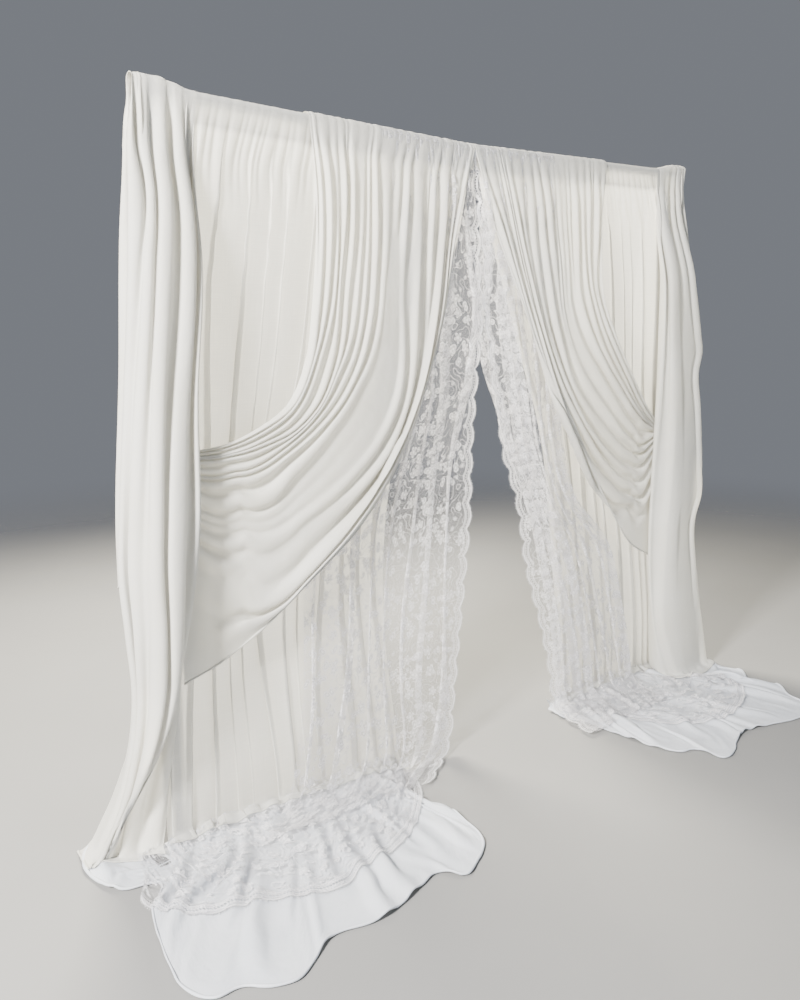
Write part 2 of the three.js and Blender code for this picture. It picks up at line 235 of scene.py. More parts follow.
def on_surface(surface, across, path, off):
    """Points of a cloth that stands off a surface by off."""
    step = 2e-3
    right = surface(np.clip(across + step, 0, 1), path) - surface(np.clip(across - step, 0, 1), path)
    down = surface(across, path + step) - surface(across, path - step)
    return surface(across, path) + unit(np.cross(right, down)) * off[..., None]


def over_bar(path, radius, hem):
    """(y, height over the bar's centre, drop) of a cloth that comes up behind the bar, crosses it and hangs down
    in front. The height counts only as far as the front of the bar."""
    angle = np.clip((path - hem) / radius, 0, math.pi)
    drop = np.maximum(path - hem - math.pi * radius, 0)
    return radius * np.cos(angle), radius * np.sin(angle) - np.maximum(hem - path, 0), drop


def touch_down(height, radius, drop):
    """(z, run along the floor) of a cloth that hangs from a height and bends onto the floor."""
    turn = np.clip((drop - (height - radius)) / radius, 0, math.pi / 2)
    z = np.where(drop < height - radius, height - drop, radius * (1 - np.sin(turn)))
    run = radius * (1 - np.cos(turn)) + np.maximum(drop - (height - radius) - radius * math.pi / 2, 0)
    return z, run


def path_steps(*parts):
    """Distances down a cloth, from parts of (end, steps)."""
    steps = [np.array([0.0])]
    for end, count in parts:
        steps.append(np.linspace(steps[-1][-1], end, count + 1)[1:])
    return np.concatenate(steps)[:, None]


# Meshes

def put_in_scene(name, data):
    obj = bpy.data.objects.new(name, data)
    bpy.context.scene.collection.objects.link(obj)
    return obj


def new_object(name, verts, faces, material=None, **uv_maps):
    """An object with a smooth mesh, whose UV maps give two numbers for each point."""
    mesh = bpy.data.meshes.new(name)
    mesh.from_pydata(np.reshape(verts, (-1, 3)).tolist(), [], faces)
    corner = np.zeros(len(mesh.loops), np.int32)
    mesh.loops.foreach_get("vertex_index", corner)
    for label, uv in uv_maps.items():
        layer = mesh.uv_layers.new(name=label)
        layer.data.foreach_set("uv", uv.reshape(-1, 2)[corner].astype(np.float32).ravel())
    mesh.shade_smooth()
    if material is not None:
        mesh.materials.append(material)
    return put_in_scene(name, mesh)


def to_world(points, side):
    world = np.array(points, float)
    world[..., 0] = MID_X + side * world[..., 0]
    world[..., 1] += BAR_Y
    return world


def grid_faces(rows, columns, flip):
    i, j = np.meshgrid(np.arange(rows - 1), np.arange(columns - 1), indexing="ij")
    a = (i * columns + j).ravel()
    corners = [a, a + 1, a + columns + 1, a + columns]
    return np.stack(corners[::-1] if flip else corners, 1).tolist()


def cloth_object(name, points, across, path, side, material, **uv_maps):
    """A cloth grid as an object. across and path say for each point where in the flat cloth it lies."""
    uv = np.stack([across + 0 * path, path + 0 * across], -1)
    faces = grid_faces(*points.shape[:2], side > 0)
    return new_object(name, to_world(points, side), faces, material, Cloth=uv, **uv_maps)


# Materials

class Wire:
    """What comes out of a node. One that carries a number can be reckoned with."""

    def __init__(self, graph, socket):
        self.graph, self.socket = graph, socket

    def __abs__(self):
        return self.graph.math("ABSOLUTE", self)

    def __add__(self, other):
        return self.graph.math("ADD", self, other)

    def __sub__(self, other):
        return self.graph.math("SUBTRACT", self, other)

    def __rsub__(self, other):
        return self.graph.math("SUBTRACT", other, self)

    def __mul__(self, other):
        return self.graph.math("MULTIPLY", self, other)

    def __truediv__(self, other):
        return self.graph.math("DIVIDE", self, other)

    def __rtruediv__(self, other):
        return self.graph.math("DIVIDE", other, self)


class Graph:
    """A node tree, with short ways to add nodes."""

    def __init__(self, tree):
        self.tree = tree

    def plug(self, socket, value):
        if isinstance(value, Wire):
            self.tree.links.new(value.socket, socket)
        elif socket.type == "RGBA" and len(value) == 3:
            socket.default_value = (*value, 1)
        else:
            socket.default_value = value

    def fill(self, node, **inputs):
        for key, value in inputs.items():
            self.plug(node.inputs[key.replace("_", " ")], value)

    def node(self, kind, **settings):
        made = self.tree.nodes.new(kind)
        for key, value in settings.items():
            setattr(made, key, value)
        return made

    def add(self, kind, *values, out=0, settings=(), **inputs):
        """Adds a node, its inputs given in order or by name. Returns one of its outputs."""
        made = self.node(kind, **dict(settings))
        for socket, value in zip(made.inputs, values):
            self.plug(socket, value)
        self.fill(made, **inputs)
        return Wire(self, made.outputs[out])

    def math(self, operation, *values):
        return self.add("ShaderNodeMath", *values, settings={"operation": operation})

    def vector(self, operation, *values, out=0, **inputs):
        return self.add("ShaderNodeVectorMath", *values, out=out, settings={"operation": operation}, **inputs)

    def length(self, vector):
        return self.vector("LENGTH", vector, out=1)

    def highest(self, first, *others):
        for other in others:
            first = self.math("MAXIMUM", first, other)
        return first

    def band(self, value, low, high):
        """0 below low, 1 above high, and smooth between."""
        made = self.node("ShaderNodeMapRange", interpolation_type="SMOOTHSTEP")
        self.fill(made, Value=value, From_Min=low, From_Max=high)
        return Wire(self, made.outputs["Result"])

    def mix(self, share, a, b):
        """A colour between two."""
        made = self.node("ShaderNodeMix", data_type="RGBA")
        for index, value in ((0, share), (6, a), (7, b)):
            self.plug(made.inputs[index], value)
        return Wire(self, made.outputs[2])

    def noise(self, place, scale, detail, out="Fac"):
        return self.add("ShaderNodeTexNoise", out=out, Vector=place, Scale=scale, Detail=detail)

    def apart(self, vector):
        """The x, y and z of a vector."""
        made = self.node("ShaderNodeSeparateXYZ")
        self.fill(made, Vector=vector)
        return [Wire(self, socket) for socket in made.outputs]

    def bump(self, height, distance, strength, **inputs):
        return self.add("ShaderNodeBump", Height=height, Distance=distance, Strength=strength, **inputs)

    def group(self, tree, **inputs):
        made = self.node("ShaderNodeGroup", node_tree=tree)
        self.fill(made, **inputs)
        return {socket.name: Wire(self, socket) for socket in made.outputs}

    def object_place(self):
        return self.add("ShaderNodeTexCoord", out="Object")

    def uv_place(self, uv_map):
        return self.add("ShaderNodeUVMap", settings={"uv_map": uv_map})

    def shine_through(self, share, surface, colour, normal):
        """Lets a share of the light through a cloth."""
        light = self.add("ShaderNodeBsdfTranslucent", Color=colour, Normal=normal)
        return self.add("ShaderNodeMixShader", share, surface, light)

    def open_up(self, cover, surface):
        """Leaves a surface only where cover is 1."""
        return self.add("ShaderNodeMixShader", cover, self.add("ShaderNodeBsdfTransparent"), surface)


VECTOR, FLOAT, COLOUR = "NodeSocketVector", "NodeSocketFloat", "NodeSocketColor"


def new_group(name, inputs, outputs):
    """An empty shader node group. Returns its graph, what it is given, by name, and its output sockets."""
    tree = bpy.data.node_groups.new(name, "ShaderNodeTree")
    for label, kind, value in inputs:
        socket = tree.interface.new_socket(label, in_out="INPUT", socket_type=kind)
        if value is not None:
            socket.default_value = value
    for label, kind in outputs:
        tree.interface.new_socket(label, in_out="OUTPUT", socket_type=kind)
    graph = Graph(tree)
    given = {socket.name: Wire(graph, socket) for socket in graph.node("NodeGroupInput").outputs}
    return graph, given, graph.node("NodeGroupOutput").inputs


def knit_group():
    """Fine knitted rows with uneven threads, as a height, and a mask of the gaps between the rows, where shade is
    painted into the colour.
    """
    graph, given, out = new_group(
        "jersey knit", [("Place", VECTOR, None), ("Rows per Metre", FLOAT, 900.0)],
        [("Height", FLOAT), ("Gap Shade", FLOAT)])
    wavy = graph.noise(given["Place"], 60.0, 0.0, "Color")
    place = graph.vector("ADD", given["Place"], graph.vector("SCALE", wavy, Scale=0.0012))
    x, y, _ = graph.apart(graph.vector("SCALE", place, Scale=given["Rows per Metre"]))
    row = abs(graph.math("SINE", x * math.pi))
    loop = graph.math("SINE", (y * 2.4 + row) * math.pi)
    graph.plug(out["Height"], row + loop * 0.35)
    # Marks the gaps between the rows, which the cloth darkens as painted shade.
    graph.plug(out["Gap Shade"], graph.band(row, 0.35, 0.0))
    return graph.tree


def weave_group():
    """A plain weave of uneven threads, as a height and as how open the cloth is."""
    graph, given, out = new_group(
        "plain weave", [("Place", VECTOR, None), ("Threads per Metre", FLOAT, 1100.0)],
        [("Height", FLOAT), ("Slubs", FLOAT)])
    x, y, _ = graph.apart(graph.vector("SCALE", given["Place"], Scale=given["Threads per Metre"]))
    warp, weft = (abs(graph.math("SINE", way * math.pi)) for way in (x, y))
    graph.plug(out["Height"], graph.highest(warp, weft))
    down, over = (graph.noise(graph.vector("MULTIPLY", given["Place"], stretch), 1.0, 1.0)
                  for stretch in ((260.0, 9.0, 1.0), (9.0, 260.0, 1.0)))
    graph.plug(out["Slubs"], graph.band((down + over) * 0.5, 0.42, 0.66))
    return graph.tree


def tone_group():
    """Slow changes of tone over a cloth, and small creases left from folding, as a height."""
    graph, given, out = new_group(
        "cloth tone", [("Place", VECTOR, None), ("Light", COLOUR, (0.9, 0.9, 0.88, 1)),
                       ("Dark", COLOUR, (0.8, 0.8, 0.75, 1)), ("Patch Size", FLOAT, 0.35)],
        [("Colour", COLOUR), ("Rumple", FLOAT)])
    scale = 1.0 / given["Patch Size"]
    patches = graph.band(graph.noise(given["Place"], scale, 2.0), 0.3, 0.7)
    graph.plug(out["Colour"], graph.mix(patches, given["Dark"], given["Light"]))
    graph.plug(out["Rumple"], graph.noise(given["Place"], scale * 7.0, 2.0))
    return graph.tree


def lace_group():
    """Corded flowers, curled stems and a scalloped border on a net. Cover is 1 where there is thread."""
    graph, given, out = new_group(
        "lace flowers", [("Place", VECTOR, None), ("Border", VECTOR, None), ("Flower Spacing", FLOAT, 0.072),
                         ("Mesh Size", FLOAT, 0.0026)],
        [("Cover", FLOAT), ("Height", FLOAT)])
    bend = graph.vector("SUBTRACT", graph.noise(given["Place"], 14.0, 1.0, "Color"), (0.5, 0.5, 0.5))
    place = graph.vector("ADD", given["Place"], graph.vector("SCALE", bend, Scale=0.012))
    flat = graph.vector("MULTIPLY", place, (1.0, 1.0, 0.0))

    def blossoms(density, petals, size, offset, share):
        """Flowers of that many petals in a share of the cells of an uneven pattern."""
        at = graph.vector("ADD", graph.vector("SCALE", flat, Scale=density / given["Flower Spacing"]), offset)
        cells = graph.node("ShaderNodeTexVoronoi", voronoi_dimensions="2D")
        graph.fill(cells, Vector=at, Scale=1.0, Randomness=0.92)
        arm = graph.vector("SUBTRACT", at, Wire(graph, cells.outputs["Position"]))
        x, y, _ = graph.apart(arm)
        chance = graph.node("ShaderNodeSeparateColor")
        graph.fill(chance, Color=Wire(graph, cells.outputs["Color"]))
        turn = graph.math("ARCTAN2", y, x) + Wire(graph, chance.outputs[0]) * 6.0
        petal = abs(graph.math("COSINE", turn * (petals / 2)))
        far = graph.length(arm) / ((petal * 0.6 + 0.4) * size)
        inside = graph.band(far, 1.0, 0.9)
        rim = inside * graph.band(far, 0.68, 0.76)
        heart = graph.band(far, 0.34, 0.26)
        flower = graph.highest(rim, heart, inside * 0.55)
        return flower * graph.math("LESS_THAN", Wire(graph, chance.outputs[1]), share)

    big = blossoms(1.0, 5.0, 0.30, (0.0, 0.0, 0.0), 0.68)
    small = blossoms(1.8, 6.0, 0.26, (7.3, 3.1, 0.0), 0.45)
    leaves = blossoms(1.4, 2.0, 0.38, (2.9, 8.4, 0.0), 0.4)
    lines = graph.math("PINGPONG", graph.noise(flat, 19.0, 0.0) * 5.0, 0.5)
    scrolls = graph.band(lines, 0.06, 0.03) * 0.9

    turned = graph.add("ShaderNodeVectorRotate", Vector=given["Place"], Angle=math.pi / 4)
    x, y, _ = graph.apart(graph.vector("SCALE", turned, Scale=1.0 / given["Mesh Size"]))
    to_thread = graph.math("MINIMUM", *(graph.math("PINGPONG", way, 0.5) for way in (x, y)))
    net = graph.band(to_thread, 0.07, 0.04)

    run, inward, _ = graph.apart(given["Border"])
    eyelet = graph.add("ShaderNodeCombineXYZ", graph.math("PINGPONG", run, 0.0105) - 0.00525, inward - 0.020)
    ring = graph.length(eyelet)
    solid = 1.0 - graph.band(ring, 0.0045, 0.0036)
    cord = graph.highest(graph.band(inward, 0.0075, 0.0055), graph.band(abs(inward - 0.034), 0.0022, 0.0012),
                         graph.band(abs(ring - 0.0052), 0.0012, 0.0006))
    worked = graph.band(inward, 0.036, 0.033) * 0.4
    motif = graph.highest(graph.highest(big, small, leaves, scrolls, worked) * solid, cord)
    graph.plug(out["Cover"], graph.highest(motif, net * solid))
    graph.plug(out["Height"], motif * 0.8 + net * 0.2)
    return graph.tree


KNIT, WEAVE, TONE, FLOWERS = knit_group(), weave_group(), tone_group(), lace_group()


def new_material(name):
    """A material, its graph, its main shader node, that node's output and the socket for the surface."""
    material = bpy.data.materials.new(name)
    material.use_nodes = True
    graph, nodes = Graph(material.node_tree), material.node_tree.nodes
    shader = nodes["Principled BSDF"]
    return material, graph, shader, Wire(graph, shader.outputs[0]), nodes["Material Output"].inputs["Surface"]


def cloth_material(name, light, dark, roughness, glow, sheen, patch, woven=True, open_share=1.0,
                   glow_tint=(1.0, 0.96, 0.86)):
    """A thin woven or knitted cloth. glow is the share of light that it lets through."""
    material, graph, shader, surface, end = new_material(name)
    place = graph.uv_place("Cloth")
    tone = graph.group(TONE, Place=place, Light=light, Dark=dark, Patch_Size=patch)
    thread = graph.group(WEAVE if woven else KNIT, Place=place)
    if woven:
        colour = graph.mix(thread["Slubs"] * 0.12, tone["Colour"], light)
    else:
        # Painted shade: the knit is darkened towards the dark tone in the gaps between its rows.
        colour = graph.mix(thread["Gap Shade"] * 0.10, tone["Colour"], dark)
    creases = graph.bump(tone["Rumple"], distance=0.004, strength=0.5)
    normal = graph.bump(thread["Height"], distance=0.0003, strength=0.35, Normal=creases)
    graph.fill(shader, Base_Color=colour, Roughness=tone["Rumple"] * 0.12 + (roughness - 0.06), Normal=normal,
               Sheen_Weight=sheen, Sheen_Roughness=0.4, Specular_IOR_Level=0.25)
    surface = graph.shine_through(glow, surface, graph.mix(0.5, colour, glow_tint), normal)
    if open_share < 1:
        facing = graph.add("ShaderNodeLayerWeight", out="Facing", Blend=0.35)
        cover = thread["Slubs"] * 0.05 + (open_share - 0.025)
        cover = graph.add("ShaderNodeMath", cover, facing * (1 - open_share), settings={"use_clamp": True})
        surface = graph.open_up(cover, surface)
    graph.plug(end, surface)
    return material


def lace_material(name, light, dark):
    """Lace that is open between its threads."""
    material, graph, shader, surface, end = new_material(name)
    place = graph.uv_place("Cloth")
    tone = graph.group(TONE, Place=place, Light=light, Dark=dark, Patch_Size=0.2)
    lace = graph.group(FLOWERS, Place=place, Border=graph.uv_place("Border"))
    normal = graph.bump(lace["Height"], distance=0.0008, strength=0.6)
    graph.fill(shader, Base_Color=tone["Colour"], Normal=normal, Roughness=0.62, Sheen_Weight=0.15)
    surface = graph.shine_through(0.3, surface, tone["Colour"], normal)
    graph.plug(end, graph.open_up(lace["Cover"], surface))
    return material


def tube_material(name, along_axis):
    """Zinc-plated tube: fine drawing lines along it, dull clouds, and rub marks from the sliding parts."""
    material, graph, shader, _, _ = new_material(name)
    place = graph.object_place()

    def streaks(along_it, across_it):
        stretch = tuple(along_it if axis == along_axis else across_it for axis in "XYZ")
        return graph.noise(graph.vector("MULTIPLY", place, stretch), 1.0, 2.0)

    drawn = streaks(3.0, 700.0)
    worn = graph.band(streaks(4.0, 60.0), 0.60, 0.68)
    colour = graph.mix(graph.noise(place, 22.0, 3.0), (0.50, 0.51, 0.53), (0.68, 0.69, 0.70))
    graph.fill(shader, Base_Color=graph.mix(worn * 0.5, colour, (0.36, 0.36, 0.37)), Metallic=1.0,
               Roughness=drawn * 0.16 + 0.24 + worn * 0.18,
               Normal=graph.bump(drawn, distance=0.0001, strength=0.5))
    return material


def coated_material(name, base, scuff, roughness, grain, scuffs):
    """Powder coat or moulded plastic: a fine grain, with pale scuffs."""
    material, graph, shader, _, _ = new_material(name)
    place = graph.object_place()
    skin = graph.noise(place, grain, 1.0)
    dust = graph.band(graph.noise(place, 9.0, 3.0), 0.5, 0.8)
    lines = graph.noise(graph.vector("MULTIPLY", place, (25.0, 180.0, 90.0)), 1.0, 2.0)
    colour = graph.mix(dust * 0.25, base, scuff)
    colour = graph.mix(graph.band(lines, 0.64, 0.70) * scuffs, colour, scuff)
    graph.fill(shader, Base_Color=colour, Roughness=skin * 0.2 + roughness,
               Normal=graph.bump(skin, distance=0.0004, strength=0.5))
    return material


def braid_material(name, light, dark):
    """A flat braid: slanting threads, with painted shade in the grooves between them."""
    material, graph, shader, _, _ = new_material(name)
    place = graph.object_place()
    x, y, z = graph.apart(place)
    thread = graph.math("PINGPONG", (x + y + z) * 320.0, 0.5)
    height = thread * 2.0 + graph.noise(place, 420.0, 2.0) * 0.4
    # Painted shade: the grooves between the threads take the dark colour.
    graph.fill(shader, Base_Color=graph.mix(graph.band(thread, 0.05, 0.3), dark, light), Roughness=0.75,
               Sheen_Weight=0.2, Normal=graph.bump(height, distance=0.0006, strength=0.7))
    return material


IVORY = cloth_material("ivory jersey", (0.90, 0.895, 0.855), (0.86, 0.85, 0.79), roughness=0.72, glow=0.34,
                       sheen=0.3, patch=0.35, woven=False)
VOILE = cloth_material("sheer voile", (0.90, 0.90, 0.87), (0.85, 0.85, 0.82), roughness=0.8, glow=0.45,
                       sheen=0.1, patch=0.5, open_share=0.80)
LACE = lace_material("white lace", (0.93, 0.92, 0.95), (0.88, 0.87, 0.91))
# The satin's bluish colours are painted skylight shade; the cloth itself is white.
SATIN = cloth_material("pool satin", (0.84, 0.875, 0.94), (0.76, 0.80, 0.88), roughness=0.42, glow=0.15,
                       sheen=0.25, patch=0.3, glow_tint=(1, 1, 1))
# The second colour of each braid is the painted shade in its grooves.
THREAD = braid_material("sewing thread", (0.90, 0.89, 0.84), (0.70, 0.69, 0.63))
LASH_THREAD = braid_material("lace thread", (0.92, 0.92, 0.94), (0.76, 0.76, 0.80))
TIE = braid_material("ivory tie braid", (0.84, 0.82, 0.74), (0.55, 0.53, 0.46))
STEEL_UP = tube_material("zinc upright tube", "Z")
STEEL_ACROSS = tube_material("zinc crossbar tube", "X")
COAT = coated_material("black powder coat", (0.035, 0.035, 0.04), (0.16, 0.16, 0.165), roughness=0.42,
                       grain=900.0, scuffs=0.6)
PLASTIC = coated_material("black moulded plastic", (0.022, 0.022, 0.024), (0.09, 0.09, 0.09), roughness=0.5,
                          grain=1500.0, scuffs=0.25)

STAND_FINISH = {"base_plate": COAT, "base_socket": COAT, "bar_bracket": COAT, "lower_upright": STEEL_UP,
                "upper_upright": STEEL_UP, "crossbar": STEEL_ACROSS, "height_collar": PLASTIC,
                "height_knob": PLASTIC, "swag_tie": TIE}


def finish_stand():
    finishes = {f"{name}_{piece}": material for piece, material in STAND_FINISH.items() for name in SIDES}
    for node, material in {**finishes, "crossbar_coupler": COAT}.items():
        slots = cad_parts[node].data.materials
        slots.clear()
        slots.append(material)


# Things that repeat along an edge: stitches and lashes

def ring_faces(rings, sides):
    """Faces of a closed tube of rings with that many points each."""
    faces = [[base + k, base + (k + 1) % sides, base + sides + (k + 1) % sides, base + sides + k]
             for base in range(0, (rings - 1) * sides, sides) for k in range(sides)]
    return faces + [list(range(sides))[::-1], [(rings - 1) * sides + k for k in range(sides)]]


def item_mesh(name, sides, *rings):
    """A small closed piece along x from rings of (x, half width, half height)."""
    verts = [(x, wide * math.cos(TAU * k / sides), high * math.sin(TAU * k / sides))
             for x, wide, high in rings for k in range(sides)]
    mesh = bpy.data.meshes.new(name)
    mesh.from_pydata(verts, [], ring_faces(len(rings), sides))
    mesh.shade_smooth()
    return mesh


def repeat_tree():
    """Puts an item every so far along a line. Each point of the line says which way its item points and which
    way is up."""
    tree = bpy.data.node_groups.new("items along an edge", "GeometryNodeTree")
    for label, kind in (("Line", "Geometry"), ("Item", "Object"), ("Spacing", "Float"), ("Smallest", "Float"),
                        ("Largest", "Float"), ("Lean", "Float"), ("Seed", "Int"), ("Finish", "Material")):
        tree.interface.new_socket(label, in_out="INPUT", socket_type=f"NodeSocket{kind}")
    tree.interface.new_socket("Items", in_out="OUTPUT", socket_type="NodeSocketGeometry")
    graph = Graph(tree)
    given = {socket.name: Wire(graph, socket) for socket in graph.node("NodeGroupInput").outputs}
    line = graph.add("GeometryNodeMeshToCurve", Mesh=given["Line"])
    points = graph.add("GeometryNodeResampleCurve", settings={"mode": "LENGTH"}, Curve=line,
                       Length=given["Spacing"])
    item = graph.add("GeometryNodeObjectInfo", out="Geometry", Object=given["Item"])

    def direction(label):
        return graph.add("GeometryNodeInputNamedAttribute", out="Attribute",
                         settings={"data_type": "FLOAT_VECTOR"}, Name=label)

    turn = graph.add("FunctionNodeAlignRotationToVector", settings={"axis": "X"}, Vector=direction("points"))
    turn = graph.add("FunctionNodeAlignRotationToVector", settings={"axis": "Z", "pivot_axis": "X"},
                     Rotation=turn, Vector=direction("up"))
    lean = graph.add("FunctionNodeRandomValue", (-0.4, -0.6, -1.0), (0.4, 0.6, 1.0),
                     settings={"data_type": "FLOAT_VECTOR"}, Seed=given["Seed"])
    tilt = graph.add("FunctionNodeEulerToRotation", graph.vector("SCALE", lean, Scale=given["Lean"]))
    turn = graph.add("FunctionNodeRotateRotation", settings={"rotation_space": "LOCAL"}, Rotation=turn,
                     Rotate_By=tilt)
    size = graph.node("FunctionNodeRandomValue")
    graph.plug(size.inputs[2], given["Smallest"])
    graph.plug(size.inputs[3], given["Largest"])
    graph.fill(size, Seed=given["Seed"])
    placed = graph.add("GeometryNodeInstanceOnPoints", Points=points, Instance=item, Rotation=turn,
                       Scale=Wire(graph, size.outputs[1]))
    items = graph.add("GeometryNodeSetMaterial", Geometry=graph.add("GeometryNodeRealizeInstances", placed),
                      Material=given["Finish"])
    graph.plug(graph.node("NodeGroupOutput").inputs[0], items)
    return tree


REPEAT = repeat_tree()
STITCH = item_mesh("stitch", 4, (-0.0018, 0.0001, 0.0001), (-0.0011, 0.0005, 0.0004), (0.0011, 0.0005, 0.0004),
                   (0.0018, 0.0001, 0.0001))
LASH = item_mesh("lash", 3, (-0.001, 0.0008, 0.0004), (0.003, 0.0011, 0.0004), (0.0075, 0.0003, 0.0002))


def repeat_along(name, line, points, up, item, side, material, **values):
    """Items along a line of cloth points, as one plain mesh. points and up give each item's directions."""
    mesh = bpy.data.meshes.new(name)
    mesh.from_pydata(to_world(line, side).tolist(), [(i, i + 1) for i in range(len(line) - 1)], [])
    for label, vectors in (("points", points), ("up", up)):
        layer = mesh.attributes.new(label, "FLOAT_VECTOR", "POINT")
        layer.data.foreach_set("vector", (vectors * (side, 1, 1)).astype(np.float32).ravel())
    obj = put_in_scene(name, mesh)
    pattern = put_in_scene(f"{name} pattern", item)
    modifier = obj.modifiers.new("items", "NODES")
    modifier.node_group = REPEAT
    values.update(Item=pattern, Finish=material)
    for entry in REPEAT.interface.items_tree:
        if entry.name in values:
            modifier[entry.identifier] = values[entry.name]
    obj.update_tag()
    bpy.context.view_layer.update()
    made = bpy.data.meshes.new_from_object(obj.evaluated_get(bpy.context.evaluated_depsgraph_get()))
    obj.modifiers.clear()
    obj.data = made
    made.name = name
    bpy.data.objects.remove(pattern)
    if not made.materials:
        made.materials.append(material)
    return obj


def edge_line(points, edge, inset=0):
    """One edge of a cloth grid, or a line a few threads in from it: (points, outward, normal)."""
    threads = {"bottom": points[::-1], "top": points, "inner": points[:, ::-1].transpose(1, 0, 2)}[edge]
    line = threads[inset]
    outward = unit(line - threads[inset + 3])
    normal = unit(np.cross(unit(np.gradient(line, axis=0)), outward))
    return line, outward, -normal if normal[:, 1].mean() > 0 else normal


def rolled_hem(name, line, outward, normal, radius, side, material, squash):
    """A narrow rolled hem: a soft closed tube along the edge of a cloth. squash is how flat it is."""
    sides = 6
    turn = np.arange(sides) * TAU / sides
    wobble = 1 + 0.12 * np.sin(np.arange(len(line)) * 0.7)[:, None, None]
    ring = (outward[:, None] * (np.cos(turn) * radius)[None, :, None]
            + normal[:, None] * (np.sin(turn) * radius * squash)[None, :, None])
    verts = line[:, None] - outward[:, None] * radius * 0.4 + ring * wobble
    verts[..., 2] = np.maximum(verts[..., 2], 0.0006)
    uv = np.stack([np.repeat(distances(line), sides), np.tile(np.arange(sides) * 0.002, len(line))], 1)
    return new_object(name, to_world(verts, side), ring_faces(len(line), sides), material, Cloth=uv)


# Cloth shapes. Edges are (height, s) stations, depths (height, y) ones and rims (s, y) points. A swag's lines are
# threads from the bar to the upright, in (s, z), each after its share of the width.

